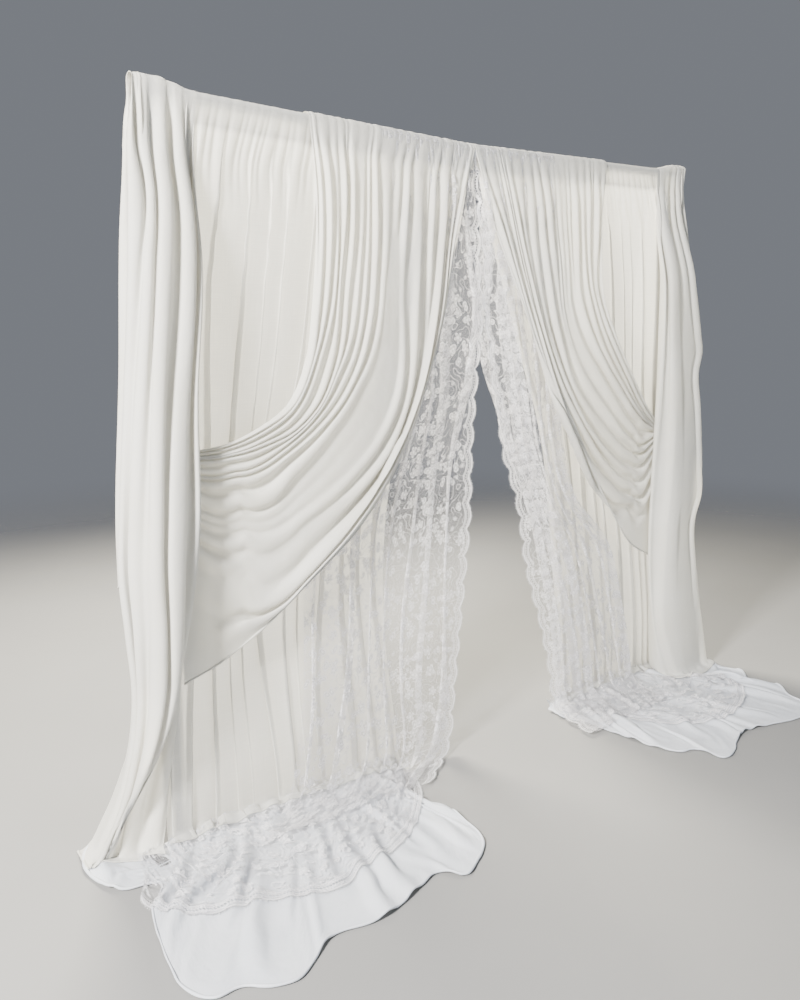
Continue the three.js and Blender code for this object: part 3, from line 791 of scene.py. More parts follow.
SHAPES = {
    "left": {
        "seed": 11,
        "voile_inner": [(2.4, 0.008), (2.2, 0.035), (1.67, 0.2), (1.17, 0.39), (0.8, 0.44), (0.44, 0.44), (0, 0.40)],
        "lace_inner": [(2.4, 0.006), (2.15, 0.012), (2.0, 0.026), (1.88, 0.028), (1.76, 0.018), (1.62, 0.034),
                       (1.2, 0.055), (0.9, 0.062), (0.7, 0.087), (0.5, 0.12), (0.2, 0.17), (0.05, 0.185), (0, 0.19)],
        "lace_foot_way": (0.83, 0.56),
        "lace_outer": [(2.4, 0.45), (1.5, 0.56), (0.9, 0.80), (0.3, 0.86), (0, 0.93)],
        "swag_lines": [
            (0.00, [(0.75, 2.36), (0.757, 2.11), (0.808, 1.743), (0.844, 1.578), (0.918, 1.433),
                    (1.007, 1.373), (1.133, 1.322), (1.29, 1.303)]),
            (0.22, [(0.60, 2.36), (0.635, 2.1), (0.69, 1.78), (0.74, 1.58), (0.82, 1.42), (0.903, 1.350),
                    (1.012, 1.31), (1.13, 1.285), (1.29, 1.285)]),
            (0.38, [(0.47, 2.36), (0.525, 2.1), (0.60, 1.80), (0.655, 1.574), (0.749, 1.426), (0.873, 1.318),
                    (1.021, 1.245), (1.156, 1.232), (1.29, 1.25)]),
            (0.50, [(0.35, 2.36), (0.41, 2.05), (0.485, 1.776), (0.58, 1.555), (0.716, 1.374),
                    (0.881, 1.246), (1.029, 1.175), (1.164, 1.172), (1.29, 1.21)]),
            (0.58, [(0.28, 2.36), (0.33, 2.0), (0.39, 1.702), (0.48, 1.455), (0.59, 1.296), (0.768, 1.158),
                    (1.008, 1.075), (1.137, 1.08), (1.29, 1.147)]),
            (0.65, [(0.215, 2.36), (0.265, 2.02), (0.335, 1.66), (0.44, 1.40), (0.565, 1.223), (0.77, 1.072),
                    (0.991, 1.0), (1.139, 1.018), (1.29, 1.096)]),
            (0.73, [(0.155, 2.36), (0.215, 2.03), (0.295, 1.68), (0.39, 1.43), (0.535, 1.19), (0.75, 0.98),
                    (0.896, 0.89), (1.033, 0.878), (1.16, 0.943), (1.29, 1.034)]),
            (0.84, [(0.09, 2.36), (0.175, 2.03), (0.255, 1.71), (0.345, 1.49), (0.49, 1.24), (0.70, 0.985),
                    (0.86, 0.85), (0.96, 0.775), (1.06, 0.75), (1.178, 0.79), (1.296, 0.906)]),
            (1.00, [(0.0035, 2.36), (0.13, 2.03), (0.228, 1.711), (0.323, 1.493), (0.456, 1.246),
                    (0.643, 1.006), (0.863, 0.826), (1.045, 0.686), (1.191, 0.601), (1.303, 0.558)]),
        ],
        "swag_valleys": [0, 0.055, 0.11, 0.165, 0.22, 0.275, 0.33, 0.38, 0.44, 0.50, 0.54, 0.58, 0.65, 0.73,
                         0.85, 1.02],
        "swag_slack": 0.15,
        "leg_inner": [(2.4, 1.15), (2.25, 1.169), (1.8, 1.211), (1.53, 1.25), (1.06, 1.274), (0.79, 1.315),
                      (0.6, 1.36), (0.38, 1.435), (0.17, 1.52), (0, 1.57)],
        "leg_return": [(2.4, 1.18), (2.25, 1.21), (1.8, 1.255), (1.53, 1.285), (1.06, 1.29), (0.79, 1.285),
                       (0.55, 1.305), (0.35, 1.34), (0.15, 1.38), (0, 1.41)],
        "leg_outer": [(2.4, 1.345), (1.9, 1.385), (1.46, 1.43), (1.15, 1.46), (0.96, 1.475), (0.75, 1.465),
                      (0.56, 1.455), (0.36, 1.475), (0.17, 1.52), (0.06, 1.565), (0, 1.585)],
        "leg_near": [(2.4, 0.02), (2.3, 0.065), (2.2, 0.078), (1.9, 0.108), (1.2, 0.155), (0.6, 0.165), (0.38, 0.14),
                     (0.17, 0.07), (0, 0.0)],
        "leg_edge": [(2.4, 0.02), (2.15, 0.075), (1.9, 0.105), (0.6, 0.13), (0.38, 0.12), (0.17, 0.06),
                     (0, 0.0)],
        "leg_behind": [(2.4, -0.02), (1.9, -0.006), (0.5, 0.0), (0.2, 0.07), (0, 0.12)],
        "leg_bulge": 0.5,
        "leg_width": 0.72,
        "tail_hem": (0.64, 0.90),
        "foot_way": (0.6, 0.0),
        "pool_rim": [(0.43, -0.12), (0.541, -0.323), (0.51, -0.503), (0.569, -0.697), (0.652, -0.75),
                     (0.733, -0.785), (0.781, -0.717), (0.877, -0.742), (1.07, -0.788), (1.237, -0.763),
                     (1.311, -0.81), (1.392, -0.85), (1.463, -0.83), (1.519, -0.779), (1.593, -0.781),
                     (1.631, -0.717), (1.622, -0.609), (1.59, -0.46), (1.55, -0.33), (1.49, -0.22),
                     (1.60, -0.18), (1.64, -0.06), (1.625, 0.06), (1.56, 0.15), (1.47, 0.18)],
        "lace_rim": [(0.42, -0.16), (0.50, -0.30), (0.64, -0.44), (0.82, -0.54), (0.95, -0.555), (1.08, -0.60),
                     (1.19, -0.56), (1.305, -0.505), (1.44, -0.475), (1.54, -0.37), (1.56, -0.28), (1.50, -0.19)],
    },
    "right": {
        "seed": 23,
        "voile_inner": [(2.4, 0.008), (2.2, 0.035), (1.67, 0.22), (1.17, 0.42), (0.85, 0.479), (0, 0.54)],
        "lace_inner": [(2.4, 0.006), (2.15, 0.012), (2.0, 0.026), (1.88, 0.028), (1.76, 0.018), (1.62, 0.045),
                       (1.5, 0.066), (1.36, 0.11), (1.19, 0.15), (0.99, 0.235), (0.65, 0.315), (0.415, 0.39),
                       (0.08, 0.455), (0, 0.455)],
        "lace_foot_way": (-0.25, 0.95),
        "lace_outer": [(2.4, 0.44), (1.5, 0.46), (1.2, 0.485), (0.92, 0.60), (0.72, 0.80), (0.365, 0.937),
                       (0.08, 1.02)],
        "swag_lines": [
            (0.00, [(0.777, 2.36), (0.70, 2.081), (0.69, 1.792), (0.76, 1.653), (0.878, 1.485),
                    (1.012, 1.335), (1.14, 1.235)]),
            (0.20, [(0.61, 2.36), (0.585, 2.08), (0.60, 1.82), (0.68, 1.63), (0.82, 1.445), (0.97, 1.30),
                    (1.14, 1.205)]),
            (0.34, [(0.46, 2.36), (0.465, 2.05), (0.52, 1.80), (0.62, 1.58), (0.78, 1.39), (0.94, 1.265),
                    (1.14, 1.19)]),
            (0.45, [(0.33, 2.36), (0.35, 2.0), (0.42, 1.72), (0.53, 1.50), (0.68, 1.32), (0.86, 1.19),
                    (1.0, 1.15), (1.14, 1.175)]),
            (0.54, [(0.25, 2.36), (0.27, 2.0), (0.345, 1.68), (0.45, 1.46), (0.58, 1.30), (0.754, 1.16),
                    (0.94, 1.08), (1.03, 1.10), (1.14, 1.155)]),
            (0.65, [(0.18, 2.36), (0.215, 2.02), (0.30, 1.68), (0.42, 1.42), (0.57, 1.22), (0.748, 1.07),
                    (0.911, 1.0), (1.02, 1.01), (1.14, 1.10)]),
            (0.78, [(0.12, 2.36), (0.17, 2.05), (0.265, 1.70), (0.385, 1.40), (0.54, 1.15), (0.68, 0.98),
                    (0.86, 0.872), (0.99, 0.90), (1.14, 1.03)]),
            (0.91, [(0.06, 2.36), (0.12, 2.10), (0.225, 1.72), (0.37, 1.40), (0.54, 1.14), (0.72, 0.92),
                    (0.90, 0.77), (1.02, 0.77), (1.14, 0.88)]),
            (1.00, [(0.0035, 2.36), (0.07, 2.103), (0.183, 1.8), (0.278, 1.573), (0.40, 1.39),
                    (0.509, 1.224), (0.69, 0.966), (0.803, 0.838), (0.94, 0.70), (1.14, 0.60)]),
        ],
        "swag_valleys": [0, 0.07, 0.14, 0.20, 0.27, 0.34, 0.42, 0.50, 0.585, 0.67, 0.76, 0.86, 1.06],
        "swag_slack": 0.7,
        "leg_inner": [(2.4, 1.145), (1.9, 1.12), (1.5, 1.105), (1.0, 1.10), (0.5, 1.10), (0.2, 1.115),
                      (0, 1.16)],
        "leg_return": [(2.4, 1.18), (2.2, 1.185), (1.5, 1.19), (0, 1.20)],
        "leg_outer": [(2.4, 1.345), (2.3, 1.33), (2.1, 1.335), (1.95, 1.35), (1.64, 1.40), (1.56, 1.41),
                      (1.48, 1.375), (1.3, 1.39), (1.0, 1.42), (0.87, 1.43), (0.79, 1.39), (0.5, 1.415),
                      (0.2, 1.46), (0, 1.48)],
        "leg_near": [(2.4, 0.02), (2.3, 0.065), (2.2, 0.078), (1.9, 0.112), (1.2, 0.165), (0.5, 0.185), (0.15, 0.22),
                     (0, 0.23)],
        "leg_edge": [(2.4, 0.02), (2.15, 0.075), (1.9, 0.105), (0.5, 0.12), (0.15, 0.16), (0, 0.17)],
        "leg_behind": [(2.4, -0.02), (1.9, -0.02), (0.5, -0.03), (0.2, -0.02), (0, 0.0)],
        "leg_bulge": 0.8,
        "leg_width": 0.68,
        "tail_hem": (0.80, 1.49),
        "foot_way": (0.2, -0.5),
        "pool_rim": [(0.44, -0.12), (0.42, -0.20), (0.435, -0.26), (0.46, -0.333), (0.477, -0.488),
                     (0.5, -0.629), (0.538, -0.707), (0.599, -0.722), (0.617, -0.842), (0.704, -0.832),
                     (0.785, -0.792), (0.918, -0.762), (1.03, -0.789), (1.235, -0.837), (1.36, -0.82),
                     (1.407, -0.687), (1.471, -0.598), (1.414, -0.503), (1.528, -0.376), (1.453, -0.296),
                     (1.5, -0.2)],
        "lace_rim": [(0.45, -0.13), (0.47, -0.20), (0.54, -0.30), (0.61, -0.385), (0.72, -0.54), (0.80, -0.60),
                     (0.91, -0.64), (1.11, -0.615), (1.28, -0.52), (1.34, -0.40), (1.25, -0.30), (1.10, -0.20)],
    },
}


# How the foot of a cloth lies on what is under it

GAP = 0.003
FOOT_HEIGHT = 0.12
PLATE_SLOPE = 0.03


def height_over(obj, points, side):
    """How high the top of an object lies at each point of a cloth grid, 0 beside it."""
    tree = BVHTree.FromObject(obj, bpy.context.evaluated_depsgraph_get())
    hits = [tree.ray_cast(Vector((x, y, 1.0)), Vector((0, 0, -1)))[0]
            for x, y, _ in to_world(points, side).reshape(-1, 3)]
    return np.array([0.0 if hit is None else hit.z for hit in hits]).reshape(points.shape[:-1])


def over_plate(name, points):
    """How high a cloth on the floor lies at least, where the stand's base plate is under it."""
    low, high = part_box(f"{name}_base_plate")
    beside = np.abs(points[..., 0] - abs(low.x + high.x) / 2) - (high.x - low.x) / 2
    before = np.abs(points[..., 1] + BAR_Y - (low.y + high.y) / 2) - (high.y - low.y) / 2
    return (high.z + GAP) * (1 - smooth(np.maximum(beside, before) / PLATE_SLOPE))


def soothed(grid):
    """A grid with each point moved towards its neighbours."""
    wide = np.pad(grid, ((1, 1), (1, 1), (0, 0)), "edge")
    return (wide[:-2, 1:-1] + wide[2:, 1:-1] + wide[1:-1, :-2] + wide[1:-1, 2:] + 2 * grid) / 6


def lay_on(points, under, side):
    """Lifts the foot of a cloth onto what lies under it."""
    low = points[..., 2] < FOOT_HEIGHT
    lift = np.zeros(points.shape[:2])
    for obj in under:
        height = height_over(obj, points[low], side)
        lift[low] = np.maximum(lift[low], np.where(height > 0, height + GAP - points[low][:, 2], 0))
    soft = lift[..., None]
    for _ in range(6):
        soft = soothed(soft)
    points[..., 2] += np.maximum(lift, soft[..., 0])
    return points


# Floor pools, and the lace trains on them. Their folds are laid out in code and fall in a Cloth simulation.

SETTLE_FRAMES = 30
POOL_STEPS = 42, 130
POOL_POINTS = 90, 280
POOL_LIFT, POOL_START = 0.02, 0.006
LOWEST_POINT = 0.0015
TRAIN_GAP = 0.001
SATIN_FOLD, SATIN_FULLNESS = 0.17, 1.35
TRAIN_FOLD, TRAIN_FULLNESS = 0.10, 1.3


def settle(points, growth):
    """Lets a cloth grid fall on the floor, crumple and come to rest, its first row held. growth is how much
    larger the cloth is than its start."""
    rows, columns = points.shape[:2]
    floor = new_object("ground", [(-4, -4, 0), (4, -4, 0), (4, 4, 0), (-4, 4, 0)], [[0, 1, 2, 3]])
    floor.modifiers.new("hit", "COLLISION")
    floor.collision.thickness_outer = GAP
    floor.collision.cloth_friction = 60
    loose = new_object("loose", points, grid_faces(rows, columns, False))
    loose.vertex_groups.new(name="held").add(list(range(columns)), 1.0, "REPLACE")
    cloth = loose.modifiers.new("settle", "CLOTH")
    settings = cloth.settings
    settings.quality = 7
    settings.mass = 0.15
    settings.tension_stiffness = settings.compression_stiffness = 20
    settings.shear_stiffness = 8
    settings.bending_stiffness = 3
    settings.air_damping = 2
    settings.vertex_group_mass = "held"
    settings.shrink_min = settings.shrink_max = -growth
    cloth.collision_settings.distance_min = GAP
    cloth.collision_settings.use_self_collision = False
    cloth.point_cache.frame_end = SETTLE_FRAMES
    for frame_number in range(1, SETTLE_FRAMES + 1):
        bpy.context.scene.frame_set(frame_number)
    rested = loose.evaluated_get(bpy.context.evaluated_depsgraph_get()).data
    place = np.zeros(rows * columns * 3, np.float32)
    rested.vertices.foreach_get("co", place)
    bpy.data.objects.remove(loose)
    bpy.data.objects.remove(floor)
    bpy.context.scene.frame_set(1)
    return place.reshape(rows, columns, 3).astype(float)


def folded_outwards(rng, lie, out, sideways, reach):
    """The satin, whose folds run out from the back edge and open towards the rim."""
    more = 1 + (SATIN_FULLNESS - 1) * (1 - 0.75 * smooth((out - 0.75) / 0.25))
    out = out[:, None]
    width = (lengths(lie(out, sideways[None, :]), 1).sum(1) * more)[:, None]
    s = sideways[None, :] * reach
    phase = fold_phase(uneven_folds(rng, reach, SATIN_FOLD, 0.75), s)
    phase = phase + 0.15 * swell(rng, 4, (s, reach / 3), (out, 1.1))
    strength = np.clip(0.85 + 0.4 * swell(rng, 4, (s, 2 * SATIN_FOLD), (out, 0.8)), 0.2, 1.4)

    def turn(spans):
        return np.minimum(swing_for(spans) * strength, 1.6) * fold_shape(phase, ridge=-0.4)

    return drape(lambda across, down: lie(down, across), width, len(sideways), out, turn, SATIN_FOLD, depth=0.8)


def folded_sideways(rng, lie, out, sideways, reach):
    """The lace, whose folds run along the rim."""
    width = (lengths(lie(out[:, None], sideways[None, :])).sum(0) * TRAIN_FULLNESS)[:, None]
    s, out = sideways[:, None] * reach, out[None, :]
    phase = out * width.max() / TRAIN_FOLD + 0.45 * swell(rng, 4, (s, 1.1), (out, 0.9))
    strength = np.clip(0.85 + 0.4 * swell(rng, 4, (s, 0.5), (out, 0.7)), 0.2, 1.4)

    def turn(spans):
        return np.minimum(swing_for(spans) * strength, 1.25) * fold_shape(phase, ridge=0.3)

    return drape(lie, width, out.size, sideways[:, None], turn, TRAIN_FOLD, depth=0.7).transpose(1, 0, 2)


def make_pool(name, side, label, key, base, material, growth, folded, under=None):
    """A cloth on the floor, from a straight back edge at base to a curved rim, over the base plate or over the
    cloth that lies under it."""
    shape = SHAPES[name]
    rng = np.random.default_rng(shape["seed"] + 4)
    rim = along(shape[key], 200)

    def lie(share_out, share_along):
        share_out, share_along = np.broadcast_arrays(share_out, share_along)
        share_along = np.clip(share_along, 0, 1)
        back = rim[0, 0] + (rim[-1, 0] - rim[0, 0]) * share_along
        place, y = (np.interp(share_along * (len(rim) - 1), np.arange(len(rim)), rim[:, k]) for k in (0, 1))
        z = POOL_LIFT * (1 - smooth((share_out - 0.3) / 0.7)) + POOL_START
        return np.stack([back + (place - back) * share_out, base + (y - base) * share_out, z], -1)

    out, sideways = (np.linspace(0, 1, count) for count in POOL_STEPS)
    points = folded(rng, lie, out, sideways, lengths(rim).sum())
    points[..., 2] = 0.004 + np.sqrt(np.maximum(points[..., 2], 0) ** 2 + 1e-5)
    points = settle(points, growth)
    to_end = np.minimum(sideways, 1 - sideways)[None, :, None]
    out = out[:, None, None]
    crowded = 1 - 0.85 * smooth((out - 0.1) / 0.3) * smooth((to_end - 0.02) / 0.1)
    for _ in range(9):
        points += crowded * (soothed(points) - points) * (out > 0)
    points = finer(points, *POOL_POINTS)
    if under is None:
        points[..., 2] = np.maximum(points[..., 2], over_plate(name, points))
    else:
        points[..., 2] += height_over(under, points, side) + TRAIN_GAP
    points[..., 2] = np.maximum(points[..., 2], LOWEST_POINT)
    downwards, across = lengths(points, 0), lengths(points, 1)
    s = np.cumsum(np.pad(across, ((0, 0), (1, 0))), 1)
    s = s - s[:, -1:] / 2
    threads = np.cumsum(np.pad(downwards, ((1, 0), (0, 0))), 0)
    to_rim = threads[-1:] - threads
    across, threads = across.sum(1), downwards.sum(0)
    cut = float(across.max()), float(threads.max()), float(across.mean() * threads.mean())
    cloth = cloth_object(f"{name}_{label}", points, s, threads.max() - to_rim, side, material,
                         Border=np.stack([s, to_rim], -1))
    return cloth, cut, points


# Curtains

def cut_size(points, width):
    """(flat width, flat length, flat area) of a cloth grid, whose threads may be of different lengths."""
    threads = lengths(points).sum(0)
    return float(width), float(threads.max()), float(width * threads.mean())


def hung_curtain(seed, radius, width, columns, rows, inner, outer, front, foot, folds, lift=0.0, depth=1.0,
                 last_fold=0.0, bend=0.05, foot_way=(0.0, 1.0)):
    """A gathered curtain over the bar down to the floor. inner and outer give s for a height, front how far
    it hangs in front of its place on the bar for a height, foot is what lies on the floor, bend the radius that
    it turns with there, and foot_way where it goes, outwards and to the front. folds are the sizes of the pleats
    and of the gathers over them, and how far down the gathers fade."""
    rng = np.random.default_rng(seed)
    coarse, fine, fade = folds
    bar = HEADER_HEM + math.pi * radius
    path = path_steps((HEADER_HEM, 4), (bar, 8), (bar + 0.4, rows // 4),
                      (bar + BAR_MIDDLE_Z - lift + foot, rows - rows // 4))
    s = np.linspace(0, width, columns)[None, :]

    def surface(across, down):
        level = np.maximum(BAR_MIDDLE_Z - np.maximum(down - bar, 0), 0)
        place = curve(outer, level) + (curve(inner, level) - curve(outer, level)) * across
        y, rise, drop = over_bar(down, radius, HEADER_HEM)
        crest = bar_centre(place)
        z, run = touch_down(crest - lift, bend, drop)
        return np.stack([place + run * foot_way[0], y - curve(front, level) - run * foot_way[1],
                         np.where(drop > 0, z + lift, crest + rise)], -1)

    drop = np.maximum(path - bar, 0)
    edges = uneven_folds(rng, width - last_fold, coarse, 0.5)
    if last_fold:
        edges = np.append(edges, width)
    phase = fold_phase(edges, s) + 0.12 * swell(rng, 3, (s, width / 2), (drop, 1.9))
    small = fold_phase(uneven_folds(rng, width, fine, 0.6), s) + 0.1 * swell(rng, 3, (s, 0.4), (drop, 0.5))
    ways = rng.choice((-1, 1, 1), len(edges))
    share = smooth(drop / fade)

    def turn(spans):
        return share * knife_turn(spans, phase, ways) + (1 - share) * swing_for(spans) * fold_shape(small)

    points = drape(surface, width, columns, path, turn, coarse, depth * pinch(drop, least=0.07))
    points[..., 2] = np.maximum(points[..., 2], lift + 0.001)
    return points, s, path


def make_voile(name, side, under):
    width = 1.5
    points, s, path = hung_curtain(
        SHAPES[name]["seed"], VOILE_R, width, columns=290, rows=110, inner=SHAPES[name]["voile_inner"],
        outer=[(2.4, 1.14), (2.3, 1.17), (1.2, 1.25), (0.6, 1.36), (0, 1.38)],
        front=[(2.4, 0.0), (2.0, 0.008), (0.5, 0.012), (0.2, 0.04), (0, 0.045)], foot=0.05,
        folds=(0.125, 0.04, 0.35), depth=0.8)
    points = lay_on(points, under, side)
    return cloth_object(f"{name}_voile", points, s, path, side, VOILE), cut_size(points, width), points


SCALLOP = 0.105
SCALLOP_DEPTH = 0.026


def add_scallops(points, s, path, edge, reach=0.1):
    """Draws the last columns of a lace grid out into scallops. Returns the points and how far each lies from
    the trimmed edge."""
    step = unit(points[:, -1] - points[:, -6])
    inward = np.maximum(edge - s, 0) + 0 * path
    near = 1 - smooth(inward / reach)
    bow = SCALLOP_DEPTH * np.abs(np.sin(math.pi * path / SCALLOP)) ** 0.6
    return points + step[:, None, :] * (bow * near)[..., None], inward + bow * (1 - near)


def make_lace(name, side, under):
    shape = SHAPES[name]
    width = 1.2
    points, s, path = hung_curtain(
        shape["seed"] + 1, LACE_R, width, columns=240, rows=190, inner=shape["lace_inner"], outer=shape["lace_outer"],
        front=[(2.4, 0.0), (2.0, 0.03), (0.6, 0.05), (0.2, 0.07), (0, 0.08)], foot=0.27, folds=(0.16, 0.045, 0.3),
        lift=0.012, last_fold=0.24, bend=0.09, foot_way=shape["lace_foot_way"])
    points, inward = add_scallops(points, s, path, width)
    points = lay_on(points, under, side)
    lace = cloth_object(f"{name}_lace", points, s, path, side, LACE, Border=np.stack([path + 0 * s, inward], -1))
    return lace, cut_size(points, width), points


# Swag

SWAG_FOLD = 0.12
SWAG_DEPTH = [(0, 0.0265), (0.12, 0.06), (0.3, 0.095), (0.6, 0.125), (0.85, 0.105), (1, 0.075)]


def make_swag(name, side):
    shape = SHAPES[name]
    rng = np.random.default_rng(shape["seed"] + 2)
    width, columns = 1.24, 220
    table_rows, table_columns = 90, 120
    lines = [along([(x, z if k else bar_centre(x)) for k, (x, z) in enumerate(points)], table_columns)
             for _, points in shape["swag_lines"]]
    shares = [share for share, _ in shape["swag_lines"]]
    fine = np.linspace(0, 1, table_rows)[:, None] + np.zeros((1, table_columns))
    table = np.stack([through(shares, [line[:, k][None] for line in lines], fine) for k in range(2)], -1)
    length = np.mean([lengths(line).sum() for line in lines])
    bar = HEADER_HEM + math.pi * SWAG_R
    path = path_steps((HEADER_HEM, 5), (bar, 9), (bar + 0.35, 30), (bar + length, 110))
    s = np.linspace(0, width, columns)[None, :]

    def surface(across, down):
        across, down = np.broadcast_arrays(across, down)
        share = np.clip((down - bar) / length, 0, 1)
        row, column = np.clip(across, 0, 1) * (table_rows - 1), share * (table_columns - 1)
        i, j = np.minimum(row.astype(int), table_rows - 2), np.minimum(column.astype(int), table_columns - 2)
        u, v = (row - i)[..., None], (column - j)[..., None]
        here = table[i, j] * (1 - v) + table[i, j + 1] * v
        here = here * (1 - u) + (table[i + 1, j] * (1 - v) + table[i + 1, j + 1] * v) * u
        place, z = here[..., 0], here[..., 1]
        y, rise, drop = over_bar(down, SWAG_R, HEADER_HEM)
        belly = curve(SWAG_DEPTH, share) * (1 + 0.25 * np.sin(math.pi * share) * across)
        return np.stack([place, np.where(drop > 0, -np.maximum(belly, SWAG_R), y),
                         np.where(drop > 0, z, bar_centre(place) + rise)], -1)

    drop = np.maximum(path - bar, 0)
    valleys = np.array(shape["swag_valleys"]) * width
    big = fold_phase(valleys, s) + 0.03 * swell(rng, 3, (s, width / 2), (drop, 2.2))
    small = fold_phase(uneven_folds(rng, width, 0.06, 0.75), s)
    small = small + 0.05 * swell(rng, 3, (s, width / 3), (drop, 2.4))
    fresh = smooth(1.3 - drop / 0.8)
    strength = 0.8 + 0.25 * swell(rng, 3, (s, 0.3), (drop, 1.2))
    slack = shape["swag_slack"] * smooth((drop / length - 0.45) / 0.3) * smooth((0.95 - s / width) / 0.12)

    def turn(spans):
        swing = swing_for(spans)
        gathers = swing * fresh * 0.75 * (0.75 + 0.35 * swell(rng, 4, (s, 0.22), (drop, 1.6)))
        folds = np.maximum(swing, slack) * (1 - fresh) * strength
        return gathers * fold_shape(small, ridge=0.3) + folds * fold_shape(big, ridge=0.5)

    level_hem = smooth((drop / length - 0.1) / 0.3) * (1 - smooth((1 - s / width) / 0.14))
    depth = pinch(drop, least=0.1, over=0.25) * (1 - level_hem)
    points = drape(surface, width, columns, path, turn, SWAG_FOLD, depth)
    cloth = cloth_object(f"{name}_swag_cloth", points, s, path, side, IVORY)
    return cloth, cut_size(points, width), points


# Leg drape, thrown over the end of the bar: a tail behind, and in front a wrap round the upright

LEG_TOP = 2.4
LEG_SHARES = [0, 0.16, 0.36, 0.56, 0.72, 0.84, 1]
LEG_RETURN_DEPTH = [(LEG_TOP, 0.02), (2.2, 0.042), (1.5, 0.05), (0.5, 0.06), (0, 0.08)]
LEG_HEAD_RISE = 0.02
TAIL_DEPTH = [(LEG_TOP, 0.02), (2.2, 0.05), (1.8, 0.09), (1.3, 0.115), (0.6, 0.13)]
TAIL_ROUNDNESS = [0.4, 0.85, 1, 1, 0.85, 0.5, 0.25]


def make_leg(name, side, under):
    shape = SHAPES[name]
    rng = np.random.default_rng(shape["seed"] + 3)
    width, columns = shape["leg_width"], 200
    foot, fold_size = 0.07, 0.13
    low_hem, high_hem = shape["tail_hem"]
    tail = BAR_END_Z - low_hem
    bar = tail + math.pi * LEG_R
    path = path_steps((tail, 52), (bar, 9), (bar + 0.4, 30), (bar + BAR_END_Z + foot, 84))
    s = np.linspace(0, width, columns)[None, :]

    def wrap_across(level, across):
        inner, outer, back = (curve(shape[edge], level) for edge in ("leg_inner", "leg_outer", "leg_return"))
        reach = outer - inner
        return through(LEG_SHARES, [outer - 0.015, outer + 0.01, outer - 0.28 * reach, inner + 0.25 * reach, inner,
                                    (inner + back) / 2 + 0.01, back], across)

    def wrap_depth(level, across):
        near, edge, behind = (curve(shape[depth], level) for depth in ("leg_near", "leg_edge", "leg_behind"))
        return through(LEG_SHARES, [behind, -shape["leg_bulge"] * near, -near, -near, -edge, -(near + 0.075) / 3,
                                    -curve(LEG_RETURN_DEPTH, level)], across)

    def surface(across, down):
        across, down = np.broadcast_arrays(across, down)
        place = wrap_across(LEG_TOP + 0 * across, across)
        radius = LEG_R + 0.002 - 0.003 * smooth((across - 0.68) / 0.1)
        crest = bar_centre(place) + LEG_HEAD_RISE * smooth((place - 1.16) / 0.12)
        y, rise, drop = over_bar(down, radius, tail)
        z, run = touch_down(crest, 0.05, drop)
        level = np.clip(z, 0, LEG_TOP)
        way_s, way_y = shape["foot_way"]
        front = np.stack([wrap_across(level, across) + run * way_s * (1.1 - across),
                          -radius + (wrap_depth(level, across) + radius) * smooth(drop / 0.5)
                          + run * (way_y - 0.4 * across), z], -1)
        top = np.stack([place, y, crest + rise], -1)
        hem = high_hem + (low_hem - high_hem) * across
        back_z = crest - np.maximum(tail - down, 0) / tail * (crest - hem)
        round_back = curve(TAIL_DEPTH, back_z) * through(LEG_SHARES, TAIL_ROUNDNESS, across)
        back = np.stack([place + 0.075 * smooth((LEG_TOP - back_z) / 1.4) * (1 - across),
                         radius + (round_back - radius) * smooth((crest - back_z) / 0.45), back_z], -1)
        return np.where((drop > 0)[..., None], front, np.where((down < tail)[..., None], back, top))

    drop = np.maximum(path - bar, 0) + np.maximum(tail - path, 0)
    valleys = uneven_folds(rng, width, fold_size, 0.5)
    big = fold_phase(valleys, s) + 0.045 * swell(rng, 3, (s, width / 2), (drop, 1.7))
    gathers = fold_phase(uneven_folds(rng, width, 0.08, 0.5), s)
    gathers = gathers + 0.045 * swell(rng, 3, (s, width / 5), (drop, 0.5))
    strength = 0.85 + 0.2 * swell(rng, 3, (s, 2.5 * width / (len(valleys) - 1)), (drop, 1.9))
    fresh = 0.3 * (1 - smooth(drop / 0.3))
    wave = fresh * fold_shape(gathers) + (1 - fresh) * strength * fold_shape(big)
    points = drape(surface, width, columns, path, lambda spans: np.minimum(swing_for(spans), 1.7) * wave,
                   fold_size, depth=pinch(drop, least=0.1) * 0.85)
    points[..., 2] = np.maximum(points[..., 2], 0.001)
    points = lay_on(points, under, side)
    cloth = cloth_object(f"{name}_leg_cloth", points, s, path, side, IVORY)
    return cloth, cut_size(points, width), points


# All that hangs and lies on one side, each cloth with its hems, fringe and stitches

HEM_R = 0.004
POOL_HEM_R = 0.006
OFF_CLOTH = 0.0006


